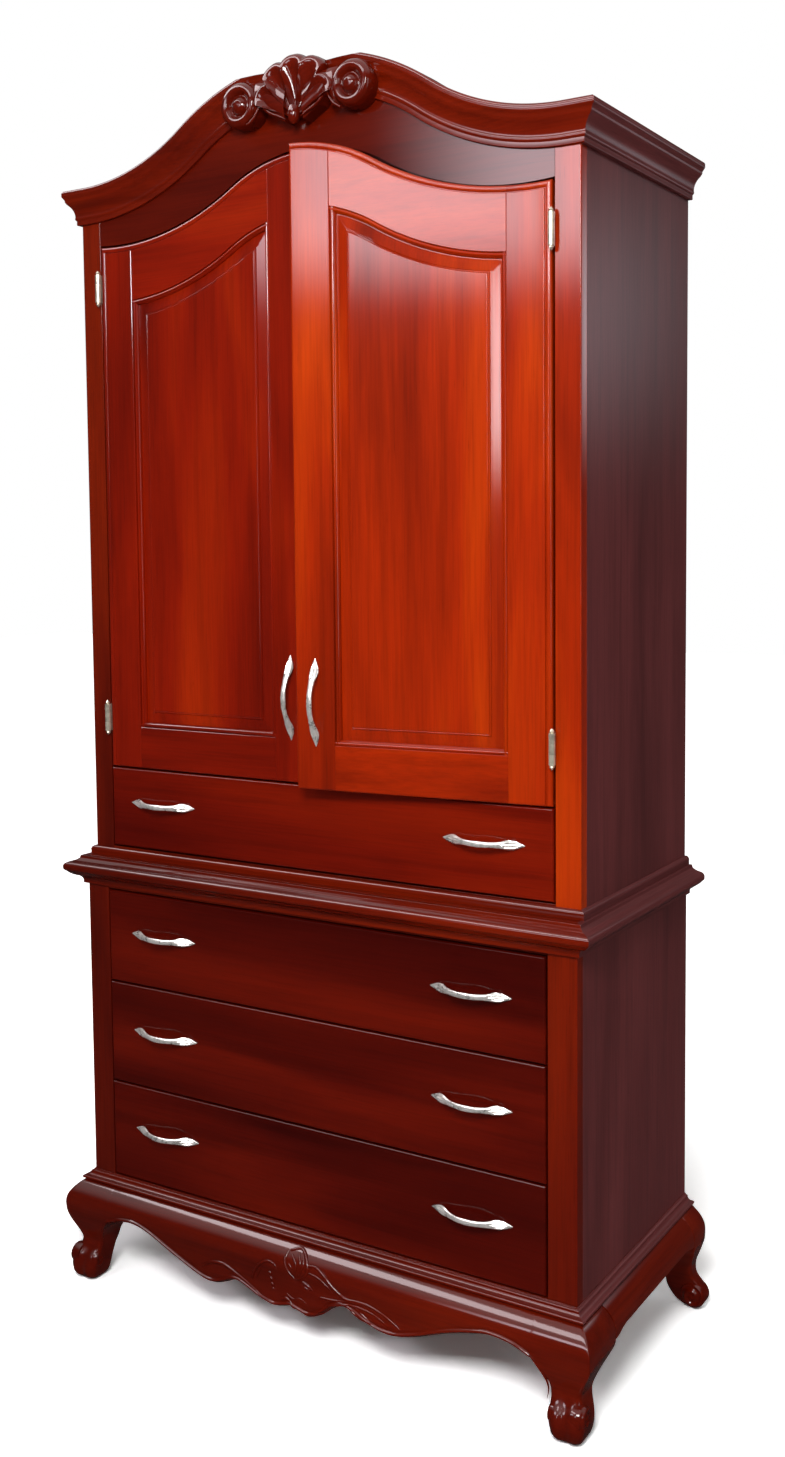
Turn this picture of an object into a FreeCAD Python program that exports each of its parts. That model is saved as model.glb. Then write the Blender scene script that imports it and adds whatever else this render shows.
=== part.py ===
"""Chifforobe: a two-part bedroom cabinet with an arched cornice.

A base frame on short cabriole legs carries a lower case with three wide drawers. The upper case
stands on it and holds one more drawer and a hanging space behind two arched frame-and-panel doors.
Millimetres, +Z up, +X to the right of someone who faces the doors, the front faces -Y. The origin
is on the floor, in the middle of the cabinet's width and depth.
"""
import FreeCAD
import Part
import Sketcher
import math
import os
import re
from FreeCAD import Placement, Rotation, Vector

doc = FreeCAD.newDocument("Chifforobe")

# ---------------------------------------------------------------- driving sizes
SIZES = (
    # the two cases
    ("case_width", 1000, "width of the upper case over its sides"),
    ("upper_depth", 459, "upper case, front frame to back panel"),
    ("upper_height", 1239, "upper case, up to the level ends of the cornice"),
    ("lower_height", 612, "lower case with its top board"),
    ("base_height", 205, "floor to the underside of the lower case"),
    ("side_step", 3, "lower case wider than the upper one, each side"),
    ("front_step", 22, "lower case deeper than the upper one, at the front"),
    ("side_thickness", 18, "case sides"),
    ("back_thickness", 6, "back panels"),
    ("rebate_width", 9, "rebate that holds a back panel in a side"),
    ("top_board_thickness", 18, "board that closes the lower case"),
    ("bottom_board_thickness", 9, "board under the bottom drawer"),
    ("shelf_thickness", 18, "floor, middle shelf and roof of the upper case"),
    # front frames
    ("frame_thickness", 22, "stiles, rails and frieze"),
    ("upper_stile_width", 43, "stile beside a door"),
    ("lower_stile_width", 50, "stile beside the lower drawers"),
    ("stile_corner", 2, "rounded outer corner of a stile"),
    ("lower_top_rail", 40, "rail above the top lower drawer"),
    ("divider_thickness", 18, "rails between drawers, behind the fronts"),
    ("divider_depth", 60, "depth of those rails"),
    ("front_gap", 3, "gap round each door and drawer front"),
    # drawers
    ("bottom_drawer_height", 180, "front of the bottom drawer"),
    ("middle_drawer_height", 190, "front of the middle drawer"),
    ("upper_drawer_height", 148, "front of the drawer under the doors"),
    ("drawer_front_thickness", 22, "drawer fronts"),
    ("drawer_proud", 3, "drawer fronts stand before the frame"),
    ("drawer_edge_round", 4, "rounded edge of a drawer front"),
    ("drawer_side_thickness", 12, "sides and back of a drawer box"),
    ("drawer_bottom_thickness", 6, "drawer bottoms"),
    ("drawer_bottom_lift", 12, "underside of the bottom over the side's edge"),
    ("groove_depth", 6, "grooves that hold the drawer bottoms"),
    ("lap_depth", 10, "sides let into the back of the front"),
    ("box_headroom", 20, "box lower than the top of its front"),
    ("drawer_back_room", 15, "space behind a closed drawer"),
    ("drawer_side_play", 1.5, "drawer side to its guide"),
    ("guide_inset", 2, "guide stands inside the edge of the stile"),
    ("guide_height", 20, "guide over the runner"),
    ("runner_overlap", 16, "runner reaches in past the guide"),
    ("runner_thickness", 18, "runners of the lower case"),
    ("upper_runner_thickness", 8, "runners on the floor of the upper case"),
    ("running_gap", 0.3, "drawer side over its runner"),
    # doors
    ("door_thickness", 22, "door frames"),
    ("door_proud", 4, "doors stand before the frame"),
    ("door_edge_round", 4, "rounded outer edge of a door"),
    ("door_stile_flat", 73, "flat face of a door stile"),
    ("door_top_flat", 100, "flat face of an arched top rail"),
    ("door_bottom_flat", 76, "flat face of a bottom rail"),
    ("sticking_width", 10, "ovolo on the inner edge of a door frame"),
    ("sticking_depth", 8, "how far the ovolo falls back"),
    ("sticking_quirk", 2, "small step where the ovolo starts"),
    ("groove_set_back", 9, "panel groove behind the door's face"),
    ("panel_tongue", 6, "thickness of the panel in its groove"),
    ("panel_groove_depth", 8, "groove behind the sight line"),
    ("panel_play", 1.5, "room for the panel to move in its groove"),
    ("bevel_width", 22, "bevel round the raised field"),
    ("bevel_rise", 4, "how far the bevel comes forward"),
    ("field_step", 2, "square step from bevel to field"),
    ("meeting_gap", 3, "gap between the closed doors"),
    ("ajar_angle", 6, "right door stands this far open, degrees"),
    # arched door heads
    ("arch_top_rise", 3, "top of the arch over the level top of the case"),
    ("arch_height", 112.5, "top of the arch over its low points"),
    ("arch_end_margin", 47, "low point of the arch inside the stile"),
    ("arch_cap_radius", 300, "round middle of the door arch"),
    # cornice
    ("cornice_height", 62, "height of the moulding, square to its run"),
    ("cornice_projection", 22, "projection before the case, on all three sides"),
    ("cornice_rise", 151.5, "middle of the cornice over its ends"),
    ("cornice_cap_radius", 374, "round middle, along the lower edge"),
    ("cornice_level_end", 20, "level run at each corner"),
    ("cornice_planed_rise", 133, "flat behind the crest, over the level top"),
    # mouldings round the cases
    ("waist_height", 53, "waist moulding"),
    ("waist_projection", 34, "nose of the waist moulding"),
    ("bead_height", 15, "bead round the foot of the upper case"),
    ("bead_projection", 8, "projection of that bead"),
    ("base_moulding_height", 19, "moulding over the aprons"),
    ("base_moulding_projection", 18, "its projection"),
    # aprons and legs
    ("apron_swell", 40, "swell of aprons and knees before the case"),
    ("apron_thickness", 28, "thickness of the hanging part"),
    ("apron_tongue", 12, "thickness behind the base moulding"),
    ("apron_shelf", 14, "where the shoulder starts under the moulding"),
    ("shoulder_drop", 41, "height of the rounded shoulder"),
    ("apron_back_drop", 16, "slope on the back of the shoulder"),
    ("tongue_drop", 5, "tongue of an apron, under the base moulding"),
    ("peak_drop", 50, "lower edge beside a leg, under the base moulding"),
    ("apron_end_drop", 61, "lower edge where it meets the leg"),
    ("peak_offset", 56, "peak of the edge from the leg"),
    ("big_lobe_drop", 105, "lowest point of a side lobe"),
    ("big_lobe_offset", 185, "that point from the middle"),
    ("cusp_drop", 89, "cusp between the lobes"),
    ("cusp_offset", 111, "cusp from the middle"),
    ("small_lobe_drop", 117, "lowest point of a middle lobe"),
    ("small_lobe_offset", 35, "that point from the middle"),
    ("notch_drop", 110, "point in the middle"),
    ("arch_end_radius", 148, "round of the edge beside a leg"),
    ("side_apron_drop", 42, "lower edge of the side aprons, under the base moulding"),
    ("side_apron_step", 8, "step down of that edge towards a leg"),
    ("side_step_run", 45, "length of that step"),
    ("back_apron_drop", 66, "lower edge of the back apron, under the base moulding"),
    ("back_apron_thickness", 18, "back apron"),
    ("leg_post", 62, "square of the leg behind the case faces"),
    ("leg_arris", 4, "rounded outer corner of a leg"),
    ("leg_joint_round", 1, "softened corner where a leg meets an apron"),
    ("rear_leg_depth", 60, "rear legs, front to back"),
    ("corner_block", 55, "glue block in each corner of the base, front to back"),
    ("corner_block_width", 44, "that block, across"),
    ("corner_block_height", 50, "height of the glue blocks"),
    # crest
    ("crest_top_rise", 154, "top of the shell over the level top of the case"),
    ("crest_length", 104, "shell from its root to its top"),
    ("crest_root_radius", 5, "rib at the root of the shell"),
    ("crest_tip_radius", 12, "rib at the rim of the shell"),
    ("crest_rib_angle", 17, "between neighbouring ribs, degrees"),
    ("crest_lean", 7, "rim leans out before the root"),
    ("crest_droop", 1.9, "side ribs end short, times the square of their number"),
    ("crest_ground", 4, "ground between the ribs, before the cornice"),
    ("scroll_radius", 37, "scroll buttons beside the shell"),
    ("scroll_offset", 109, "scroll from the middle"),
    ("scroll_rise", 87, "scroll over the level top of the case"),
    ("scroll_reach", 49, "scroll before the frame"),
    ("scroll_ground_radius", 31, "ground behind a scroll"),
    ("neck_low", 30, "lower edge of the neck, under the middle of the scroll"),
    ("neck_high", 15, "upper edge of the neck, over that middle"),
    ("neck_depth", 10, "neck before the cornice"),
    ("crest_back", 4, "back of the carving before the frame"),
    # hinges
    ("hinge_height", 50, "barrel of a hinge"),
    ("barrel_radius", 5.5, "outside of the barrel"),
    ("pin_radius", 3, "hinge pin"),
    ("pin_play", 0.05, "pin in its bore, each side"),
    ("knuckle_gap", 0.2, "between knuckles"),
    ("leaf_thickness", 1.4, "hinge leaves"),
    ("leaf_play", 0.2, "between the two closed leaves"),
    ("leaf_reach", 19, "leaf behind the middle of the pin"),
    ("barrel_gap", 0.3, "barrel before the door's face"),
    ("finial_height", 7, "turned tip at each end of the pin"),
    ("finial_radius", 4.2, "widest part of the tip"),
    ("finial_neck", 3.3, "radius where the tip leaves the barrel"),
    ("finial_bulb", 3.2, "widest part over that place"),
    ("finial_end", 1.3, "radius of the blunt end"),
    ("low_hinge_height", 92, "lower hinge over the door's lower edge"),
    ("high_hinge_drop", 73.5, "upper hinge under the low point of the arch"),
    # pulls
    ("pull_length", 148, "over both leaves"),
    ("pull_span", 116, "between the feet of the bow"),
    ("pull_rise", 28, "crown of the bow before the face that carries it"),
    ("bow_width", 9, "bar of the bow"),
    ("bow_thickness", 5, "bar of the bow"),
    ("bow_bevel", 1.5, "bevelled front edges of that bar"),
    ("leaf_length", 38, "leaf at each end of a pull"),
    ("leaf_width", 16, "leaf at each end of a pull"),
    ("leaf_plate", 4, "thickness of that leaf"),
    ("pull_lift", 11, "pulls over the middle of a drawer front"),
    ("lower_pull_offset", 319, "pulls of the lower drawers from the middle"),
    ("upper_pull_offset", 332, "pulls of the upper drawer from the middle"),
    ("door_pull_height", 148, "middle of a door pull over the door's foot"),
    ("door_pull_inset", 38, "door pull from the door's meeting edge"),
    # inside the hanging space
    ("rail_radius", 12.5, "hanging rail"),
    ("rail_drop", 150, "hanging rail under the roof"),
    ("flange_radius", 27, "flange at each end of the rail"),
    ("flange_thickness", 5, "flange at each end of the rail"),
    ("stop_thickness", 18, "head stop behind the doors"),
    ("stop_foot_drop", 81, "foot of the head stop under the level top"),
    ("stop_head_rise", 24, "top of the head stop over the level top"),
    ("catch_width", 40, "touch catch"),
    ("catch_height", 18, "touch catch"),
    ("catch_depth", 50, "touch catch"),
    ("catch_offset", 50, "touch catch from the middle"),
)

# ---------------------------------------------------------------- derived places
PLACES = (
    # across
    ("upper_half", "case_width / 2"),
    ("lower_half", "upper_half + side_step"),
    ("upper_inside", "upper_half - side_thickness"),
    ("lower_inside", "lower_half - side_thickness"),
    ("upper_opening", "upper_half - upper_stile_width"),
    ("lower_opening", "lower_half - lower_stile_width"),
    ("hinge_line", "upper_opening - leaf_thickness - leaf_play / 2"),
    ("door_edge", "upper_opening - 2 * leaf_thickness - leaf_play"),
    ("meeting_edge", "meeting_gap / 2"),
    ("upper_guide", "upper_opening - guide_inset"),
    ("lower_guide", "lower_opening - guide_inset"),
    ("leg_inside", "lower_half - leg_post"),
    # up
    ("split_level", "base_height + lower_height"),
    ("level_top", "split_level + upper_height"),
    ("lower_board_level", "split_level - top_board_thickness"),
    ("leg_top", "base_height - base_moulding_height"),
    ("knee_level", "leg_top - shoulder_drop"),
    ("peak_level", "leg_top - peak_drop"),
    ("apron_end_level", "leg_top - apron_end_drop"),
    ("big_lobe_level", "leg_top - big_lobe_drop"),
    ("cusp_level", "leg_top - cusp_drop"),
    ("small_lobe_level", "leg_top - small_lobe_drop"),
    ("notch_level", "leg_top - notch_drop"),
    ("side_apron_edge", "leg_top - side_apron_drop"),
    ("back_apron_edge", "leg_top - back_apron_drop"),
    ("waist_level", "split_level - waist_height"),
    ("bottom_drawer_foot", "base_height + front_gap"),
    ("bottom_drawer_head", "bottom_drawer_foot + bottom_drawer_height"),
    ("middle_drawer_foot", "bottom_drawer_head + front_gap"),
    ("middle_drawer_head", "middle_drawer_foot + middle_drawer_height"),
    ("top_drawer_foot", "middle_drawer_head + front_gap"),
    ("top_drawer_head", "lower_board_level - lower_top_rail - front_gap"),
    ("low_divider_foot", "bottom_drawer_head + (front_gap - divider_thickness) / 2"),
    ("high_divider_foot", "middle_drawer_head + (front_gap - divider_thickness) / 2"),
    ("bottom_board_top", "base_height + bottom_board_thickness"),
    ("upper_floor_top", "split_level + shelf_thickness"),
    ("upper_drawer_foot", "upper_floor_top + front_gap"),
    ("upper_drawer_head", "upper_drawer_foot + upper_drawer_height"),
    ("middle_shelf_foot", "upper_drawer_head + (front_gap - shelf_thickness) / 2"),
    ("door_foot", "upper_drawer_head + front_gap"),
    ("arch_top", "level_top + arch_top_rise"),
    ("arch_low", "arch_top - arch_height"),
    ("arch_reach", "upper_opening - arch_end_margin"),
    ("arch_hollow_radius", "(arch_reach^2 + arch_height^2) / (2 * arch_height) - arch_cap_radius"),
    ("cornice_low", "level_top - cornice_height"),
    ("cornice_top", "cornice_low + cornice_rise"),
    ("cornice_reach", "upper_half - cornice_level_end"),
    ("cornice_hollow_radius",
     "(cornice_reach^2 + cornice_rise^2) / (2 * cornice_rise) - cornice_cap_radius"),
    # back: the ajar door's pull reaches furthest forward, the back panel furthest back
    ("hinge_reach", "door_proud + barrel_gap + barrel_radius"),
    ("front_reach",
     "hinge_reach + (hinge_line - meeting_edge - door_pull_inset) * sin(ajar_angle)"
     " + (pull_rise + door_proud - hinge_reach) * cos(ajar_angle)"),
    ("upper_front", "(front_reach - upper_depth) / 2"),
    ("back_plane", "upper_front + upper_depth"),
    ("board_back", "back_plane - back_thickness"),
    ("lower_front", "upper_front - front_step"),
    ("upper_frame_back", "upper_front + frame_thickness"),
    ("lower_frame_back", "lower_front + frame_thickness"),
    ("divider_back", "lower_frame_back + divider_depth"),
    ("stop_back", "upper_frame_back + stop_thickness"),
    ("drawer_back", "board_back - drawer_back_room"),
    ("door_face", "upper_front - door_proud"),
    ("pin_line", "upper_front - hinge_reach"),
    ("front_leg_back", "lower_front + leg_post"),
    ("rear_leg_front", "back_plane - rear_leg_depth"),
)

sheet = doc.addObject("Spreadsheet::Sheet", "Sizes")
places = doc.addObject("App::VarSet", "Places")
SIZE_NAMES = {name for name, number, meaning in SIZES}
PLACE_NAMES = {name for name, expression in PLACES}


def in_full(expression):
    """The expression with the owner of each size and place written before its name."""
    def owned(match):
        word = match.group(0)
        if word in SIZE_NAMES:
            return "Sizes." + word
        if word in PLACE_NAMES:
            return "Places." + word
        return word
    return re.sub("[A-Za-z_]+", owned, expression)


def fill_sheet():
    """Each driving size in a row of its own: name, number and meaning."""
    for row, (name, number, meaning) in enumerate(SIZES, start=1):
        sheet.set("A%d" % row, name)
        sheet.set("B%d" % row, str(number))
        sheet.set("C%d" % row, meaning)
        sheet.setAlias("B%d" % row, name)
    doc.recompute()


def fill_places():
    """Each derived place as a number that follows the sheet."""
    for name, expression in PLACES:
        places.addProperty("App::PropertyFloat", name)
        places.setExpression(name, in_full(expression))
    doc.recompute()


fill_sheet()
fill_places()


class Numbers:
    """Sizes and places by name, as they stand in the document."""

    def __getattr__(self, name):
        return float(getattr(sheet if name in SIZE_NAMES else places, name))


size = Numbers()
QUARTER = math.tan(math.pi / 8)
ACROSS = Vector(1, 0, 0)
BACK = Vector(0, 1, 0)
UP = Vector(0, 0, 1)
ORIGIN = Vector(0, 0, 0)
RIGHT_SIDE = 1
LEFT_SIDE = -1
SIDES = (("left", LEFT_SIDE), ("right", RIGHT_SIDE))


# ---------------------------------------------------------------- ways to make a piece
def bind(item, prop, expression):
    """Tie one property to sizes and places."""
    item.setExpression(prop, in_full(expression))


def value(expression):
    """What an expression comes to now."""
    return float(sheet.evalExpression(in_full(expression)))


def board(name, across, back, up):
    """A square-edged board between pairs of planes."""
    box = doc.addObject("Part::Box", name)
    box.Label = name
    for axis, prop, (low, high) in (("x", "Length", across), ("y", "Width", back), ("z", "Height", up)):
        bind(box, "Placement.Base." + axis, low)
        bind(box, prop, "(%s) - (%s)" % (high, low))
    return box


def group(name, pieces):
    """Separate pieces that share one node."""
    compound = doc.addObject("Part::Compound", name)
    compound.Label = name
    compound.Links = pieces
    return compound


def mirror_pair(reach_low, reach_high):
    """The same stretch on both sides of the middle, as two pairs of planes."""
    right = (reach_low, reach_high)
    left = ("-(%s)" % reach_high, "-(%s)" % reach_low)
    return left, right


def add_outline(sketch, corners):
    """Close an outline in a sketch. A corner is (x, y), or (x, y, radius, turn) after a quarter round."""
    first = sketch.GeometryCount
    points = [Vector(value(corner[0]), value(corner[1]), 0) for corner in corners]
    starts = []
    for index, corner in enumerate(corners):
        start = points[index - 1]
        end = points[index]
        if len(corner) == 2:
            sketch.addGeometry(Part.LineSegment(start, end), False)
            starts.append((1, 2))
        else:
            chord = end - start
            middle = (start + end) * 0.5 + Vector(chord.y, -chord.x, 0) * (corner[3] * QUARTER / 2)
            sketch.addGeometry(Part.Arc(start, middle, end), False)
            starts.append((1, 2) if corner[3] > 0 else (2, 1))
    for index, corner in enumerate(corners):
        edge = first + index
        after = (index + 1) % len(corners)
        end = starts[index][1]
        sketch.addConstraint(Sketcher.Constraint("Coincident", edge, end, first + after, starts[after][0]))
        for kind, number in (("DistanceX", points[index].x), ("DistanceY", points[index].y)):
            row = sketch.addConstraint(Sketcher.Constraint(kind, -1, 1, edge, end, number))
            bind(sketch, "Constraints[%d]" % row, corner[0] if kind == "DistanceX" else corner[1])
        if len(corner) == 4:
            row = sketch.addConstraint(Sketcher.Constraint("Radius", edge, value(corner[2])))
            bind(sketch, "Constraints[%d]" % row, corner[2])


def sketch_on(body, role, name, level, outlines):
    """A sketch with closed outlines, parallel to an origin plane of its body."""
    plane = next(item for item in body.Origin.OriginFeatures if item.Role == role)
    sketch = body.newObject("Sketcher::SketchObject", name)
    sketch.AttachmentSupport = [(plane, "")]
    sketch.MapMode = "FlatFace"
    bind(sketch, "AttachmentOffset.Base.z", level)
    for corners in outlines:
        add_outline(sketch, corners)
    return sketch


def bar(name, direction, low, high, corners):
    """A body of one cross-section between two planes square to its direction."""
    body = doc.addObject("PartDesign::Body", name)
    body.Label = name
    if direction == "up":
        profile = sketch_on(body, "XY_Plane", name + "_profile", low, [corners])
    else:
        profile = sketch_on(body, "XZ_Plane", name + "_profile", "-(%s)" % high, [corners])
    pad = body.newObject("PartDesign::Pad", name + "_pad")
    pad.Profile = profile
    bind(pad, "Length", "(%s) - (%s)" % (high, low))
    return body


def feature(name, *solids):
    """A node whose form comes from Part's own functions."""
    item = doc.addObject("Part::Feature", name)
    item.Label = name
    item.Shape = solids[0] if len(solids) == 1 else Part.makeCompound(list(solids))
    return item


def flat_face(corners, place):
    """A face inside lines and arcs.

    A corner is (u, v), or after an arc (u, v, bulge) or (u, v, (mid u, mid v)).
    """
    edges = []
    for index, corner in enumerate(corners):
        before = corners[index - 1]
        start = place(before[0], before[1])
        end = place(corner[0], corner[1])
        if len(corner) == 2:
            edges.append(Part.makeLine(start, end))
            continue
        if isinstance(corner[2], tuple):
            middle = corner[2]
        else:
            run = corner[0] - before[0]
            rise = corner[1] - before[1]
            middle = (before[0] + (run + corner[2] * rise) / 2, before[1] + (rise - corner[2] * run) / 2)
        edges.append(Part.Arc(start, place(*middle), end).toShape())
    return Part.Face(Part.Wire(edges))


def plan_prism(corners, low, high):
    """A prism over an outline seen from above."""
    return flat_face(corners, lambda x, y: Vector(x, y, low)).extrude(UP * (high - low))


def front_prism(corners, front, back):
    """A prism behind an outline seen from the front."""
    return flat_face(corners, lambda x, z: Vector(x, front, z)).extrude(BACK * (back - front))


def turned_about(centre, corners, start, sweep):
    """A (radius, y) section turned about a line through centre, parallel to Y, from +X towards +Z."""
    axis = Vector(centre[0], 0, centre[1])
    face = flat_face(corners, lambda radius, y: Vector(centre[0] + radius, y, centre[1]))
    face.rotate(axis, -BACK, start)
    return face.revolve(axis, -BACK, sweep)


def polygon_face(corners):
    """A flat face inside straight edges."""
    return Part.Face(Part.makePolygon(corners + corners[:1]))


def stacked(rings):
    """A solid with flat sides between rings of corners, each ring over the last."""
    faces = [polygon_face(rings[0]), polygon_face(rings[-1])]
    for lower, upper in zip(rings, rings[1:]):
        for index, corner in enumerate(lower):
            faces.append(polygon_face([lower[index - 1], corner, upper[index], upper[index - 1]]))
    shell = Part.makeShell(faces)
    shell.sewShape()
    solid = Part.makeSolid(shell)
    return solid if solid.Volume > 0 else solid.reversed()


def faceted(stations, sides):
    """A cut form along Z: a regular polygon at each (radius, level) station."""
    angles = [2 * math.pi * (turn + 0.5) / sides for turn in range(sides)]
    return stacked([[Vector(radius * math.cos(angle), radius * math.sin(angle), level) for angle in angles]
                    for radius, level in stations])


def set_along(shape, foot, direction):
    """A piece made along Z, moved to its foot and turned to a direction."""
    shape.Placement = Placement(foot, Rotation(UP, direction))
    return shape


def mirrored(shape):
    """The same piece for the other side of the cabinet."""
    return shape.mirror(ORIGIN, ACROSS)


def handed(shape, side):
    """A piece drawn for the right side, for either side."""
    return shape if side == RIGHT_SIDE else mirrored(shape)


def in_chords(corners, pieces=2):
    """An outline whose arcs are worked as narrow flats, as a moulding that bends is scraped."""
    line = []
    for index, corner in enumerate(corners):
        if len(corner) == 3:
            before = corners[index - 1]
            sweep = 4 * math.atan(corner[2])
            run = corner[0] - before[0]
            rise = corner[1] - before[1]
            for piece in range(1, pieces):
                # a point on the arc, along and to the right of the chord
                angle = sweep * (piece / pieces - 0.5)
                along = 0.5 + math.sin(angle) / (2 * math.sin(sweep / 2))
                bow = (math.cos(angle) - math.cos(sweep / 2)) / (2 * math.sin(sweep / 2))
                line.append((before[0] + along * run + bow * rise, before[1] + along * rise - bow * run))
        line.append(corner[:2])
    return line


def stretched(shares, width, height):
    """A moulding's section from shares of its projection and height."""
    return in_chords([(share[0] * width, share[1] * height) + share[2:] for share in shares])


def mitre_prisms(half, front, back, outer, low, high):
    """Room for the front run and the right-hand return of a moulding mitred at the corner."""
    front_room = plan_prism(
        [(-half, front), (half, front), (half + outer, front - outer), (-half - outer, front - outer)],
        low, high)
    return_room = plan_prism(
        [(half, front), (half, back), (half + outer, back), (half + outer, front - outer)], low, high)
    return front_room, return_room


def mitred_runs(section, half, front, back, level):
    """The front run and both returns of a moulding, mitred at the corners."""
    outer = max(corner[0] for corner in section) + 1
    top = level + max(corner[1] for corner in section) + 1
    bottom = level + min(corner[1] for corner in section) - 1
    front_room, return_room = mitre_prisms(half, front, back, outer, bottom, top)
    length = half + outer
    front_run = flat_face(section, lambda p, h: Vector(-length, front - p, level + h))
    front_run = front_run.extrude(ACROSS * 2 * length).common(front_room)
    return_run = flat_face(section, lambda p, h: Vector(half + p, front - outer, level + h))
    return_run = return_run.extrude(BACK * (back - front + outer)).common(return_room)
    return front_run, mirrored(return_run), return_run


class Ogee:
    """A line in the front view: a round cap over the middle that runs into a hollow at each side."""

    def __init__(self, top, low, reach, cap_radius, hollow_radius):
        self.cap = (0, top - cap_radius)
        self.hollow = (reach, low + hollow_radius)
        self.cap_radius = cap_radius
        self.hollow_radius = hollow_radius
        self.slope = math.degrees(math.atan2(self.hollow[1] - self.cap[1], reach))

    def turn(self, lift):
        """How far from the middle the cap becomes the hollow, on a line raised by lift."""
        return (self.cap_radius + lift) * math.cos(math.radians(self.slope))

    def height(self, x, lift):
        """The line's height at x."""
        if abs(x) <= self.turn(lift):
            return self.cap[1] + math.sqrt((self.cap_radius + lift) ** 2 - x ** 2)
        off = abs(x) - self.hollow[0]
        return self.hollow[1] - math.sqrt((self.hollow_radius - lift) ** 2 - off ** 2)

    def corners(self, start, end, lift):
        """The line from start to end as corners joined by arcs."""
        turns = [x for x in (-self.turn(lift), self.turn(lift)) if min(start, end) < x < max(start, end)]
        stops = [start] + sorted(turns, reverse=start > end) + [end]
        line = [(start, self.height(start, lift))]
        for before, after in zip(stops, stops[1:]):
            middle = (before + after) / 2
            line.append((after, self.height(after, lift), (middle, self.height(middle, lift))))
        return line

    def carry(self, section, lift, start_angle, end_angle):
        """A straight-edged (inward, y) section carried along the right half: inward is under the line."""
        cap_section = [(self.cap_radius + lift - inward, y) for inward, y in section]
        hollow_section = [(self.hollow_radius - lift + inward, y) for inward, y in section]
        cap_run = turned_about(self.cap, cap_section, self.slope, start_angle - self.slope)
        meeting = self.slope + 180
        hollow_run = turned_about(self.hollow, hollow_section, meeting, end_angle - meeting)
        return cap_run, hollow_run


door_arch = Ogee(size.arch_top, size.arch_low, size.arch_reach, size.arch_cap_radius,
                 size.arch_hollow_radius)
cornice_line = Ogee(size.cornice_top, size.cornice_low, size.cornice_reach, size.cornice_cap_radius,
                    size.cornice_hollow_radius)


# ---------------------------------------------------------------- lower case
def case_side(name, side, half, inside, front, low, high):
    """A case side with the rebate for the back panel along its rear edge."""
    sign = "%d * " % side
    return bar(name, "up", low, high, [
        (sign + inside, front),
        (sign + half, front),
        (sign + half, "back_plane"),
        (sign + "(%s + rebate_width)" % inside, "back_plane"),
        (sign + "(%s + rebate_width)" % inside, "board_back"),
        (sign + inside, "board_back"),
    ])


def stile(name, side, opening, half, front, back, low, high):
    """An upright of a front frame, with its outer corner rounded."""
    sign = "%d * " % side
    return bar(name, "up", low, high, [
        (sign + opening, front),
        (sign + "(%s - stile_corner)" % half, front),
        (sign + half, front + " + stile_corner", "stile_corner", side),
        (sign + half, back),
        (sign + opening, back),
    ])


def build_lower_case():
    """Sides, front frame, boards and back of the lower case."""
    nodes = []
    for word, side in SIDES:
        nodes.append(case_side("lower_%s_side" % word, side, "lower_half", "lower_inside",
                               "lower_frame_back", "base_height", "lower_board_level"))
        nodes.append(stile("lower_%s_stile" % word, side, "lower_opening", "lower_half", "lower_front",
                           "lower_frame_back", "base_height", "lower_board_level"))
    opening = ("-lower_opening", "lower_opening")
    inside = ("-lower_inside", "lower_inside")
    behind_rails = ("lower_frame_back", "divider_back")
    nodes.append(group("lower_rails", [
        board("lower_top_rail_board", opening, ("lower_front", "lower_frame_back"),
              ("lower_board_level - lower_top_rail", "lower_board_level")),
        board("low_divider", inside, behind_rails,
              ("low_divider_foot", "low_divider_foot + divider_thickness")),
        board("high_divider", inside, behind_rails,
              ("high_divider_foot", "high_divider_foot + divider_thickness")),
    ]))
    nodes.append(group("lower_boards", [
        board("lower_bottom_board", inside, ("lower_frame_back", "board_back"),
              ("base_height", "bottom_board_top")),
        board("lower_top_board", ("-lower_half", "lower_half"), ("lower_front", "back_plane"),
              ("lower_board_level", "split_level")),
    ]))
    nodes.append(board("lower_back", ("-lower_inside - rebate_width", "lower_inside + rebate_width"),
                       ("board_back", "back_plane"), ("base_height", "lower_board_level")))
    return nodes


# ---------------------------------------------------------------- upper case
def build_upper_case():
    """Sides, front frame, boards and back of the upper case, with what hangs inside."""
    nodes = []
    for word, side in SIDES:
        nodes.append(case_side("upper_%s_side" % word, side, "upper_half", "upper_inside",
                               "upper_frame_back", "split_level", "level_top"))
        nodes.append(stile("upper_%s_stile" % word, side, "upper_opening", "upper_half", "upper_front",
                           "upper_frame_back", "split_level", "level_top"))
    inside = ("-upper_inside", "upper_inside")
    behind_frame = ("upper_frame_back", "board_back")
    nodes.append(group("upper_boards", [
        board("upper_floor", inside, behind_frame, ("split_level", "upper_floor_top")),
        board("middle_shelf", inside, behind_frame,
              ("middle_shelf_foot", "middle_shelf_foot + shelf_thickness")),
        board("roof", inside, ("stop_back", "board_back"), ("level_top - shelf_thickness", "level_top")),
    ]))
    nodes.append(group("upper_rails", [
        board("upper_bottom_rail", ("-upper_opening", "upper_opening"),
              ("upper_front", "upper_frame_back"), ("split_level", "upper_floor_top")),
        board("head_stop", inside, ("upper_frame_back", "stop_back"),
              ("level_top - stop_foot_drop", "level_top + stop_head_rise")),
    ]))
    nodes.append(board("upper_back", ("-upper_inside - rebate_width", "upper_inside + rebate_width"),
                       ("board_back", "back_plane"), ("split_level", "level_top")))
    nodes.append(group("door_catches", [
        board("catch_%d" % number, span, ("upper_frame_back", "upper_frame_back + catch_depth"),
              ("level_top - stop_foot_drop - catch_height", "level_top - stop_foot_drop"))
        for number, span in enumerate(
            mirror_pair("catch_offset - catch_width / 2", "catch_offset + catch_width / 2"))
    ]))
    nodes.append(build_hanging_rail())
    return nodes


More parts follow.
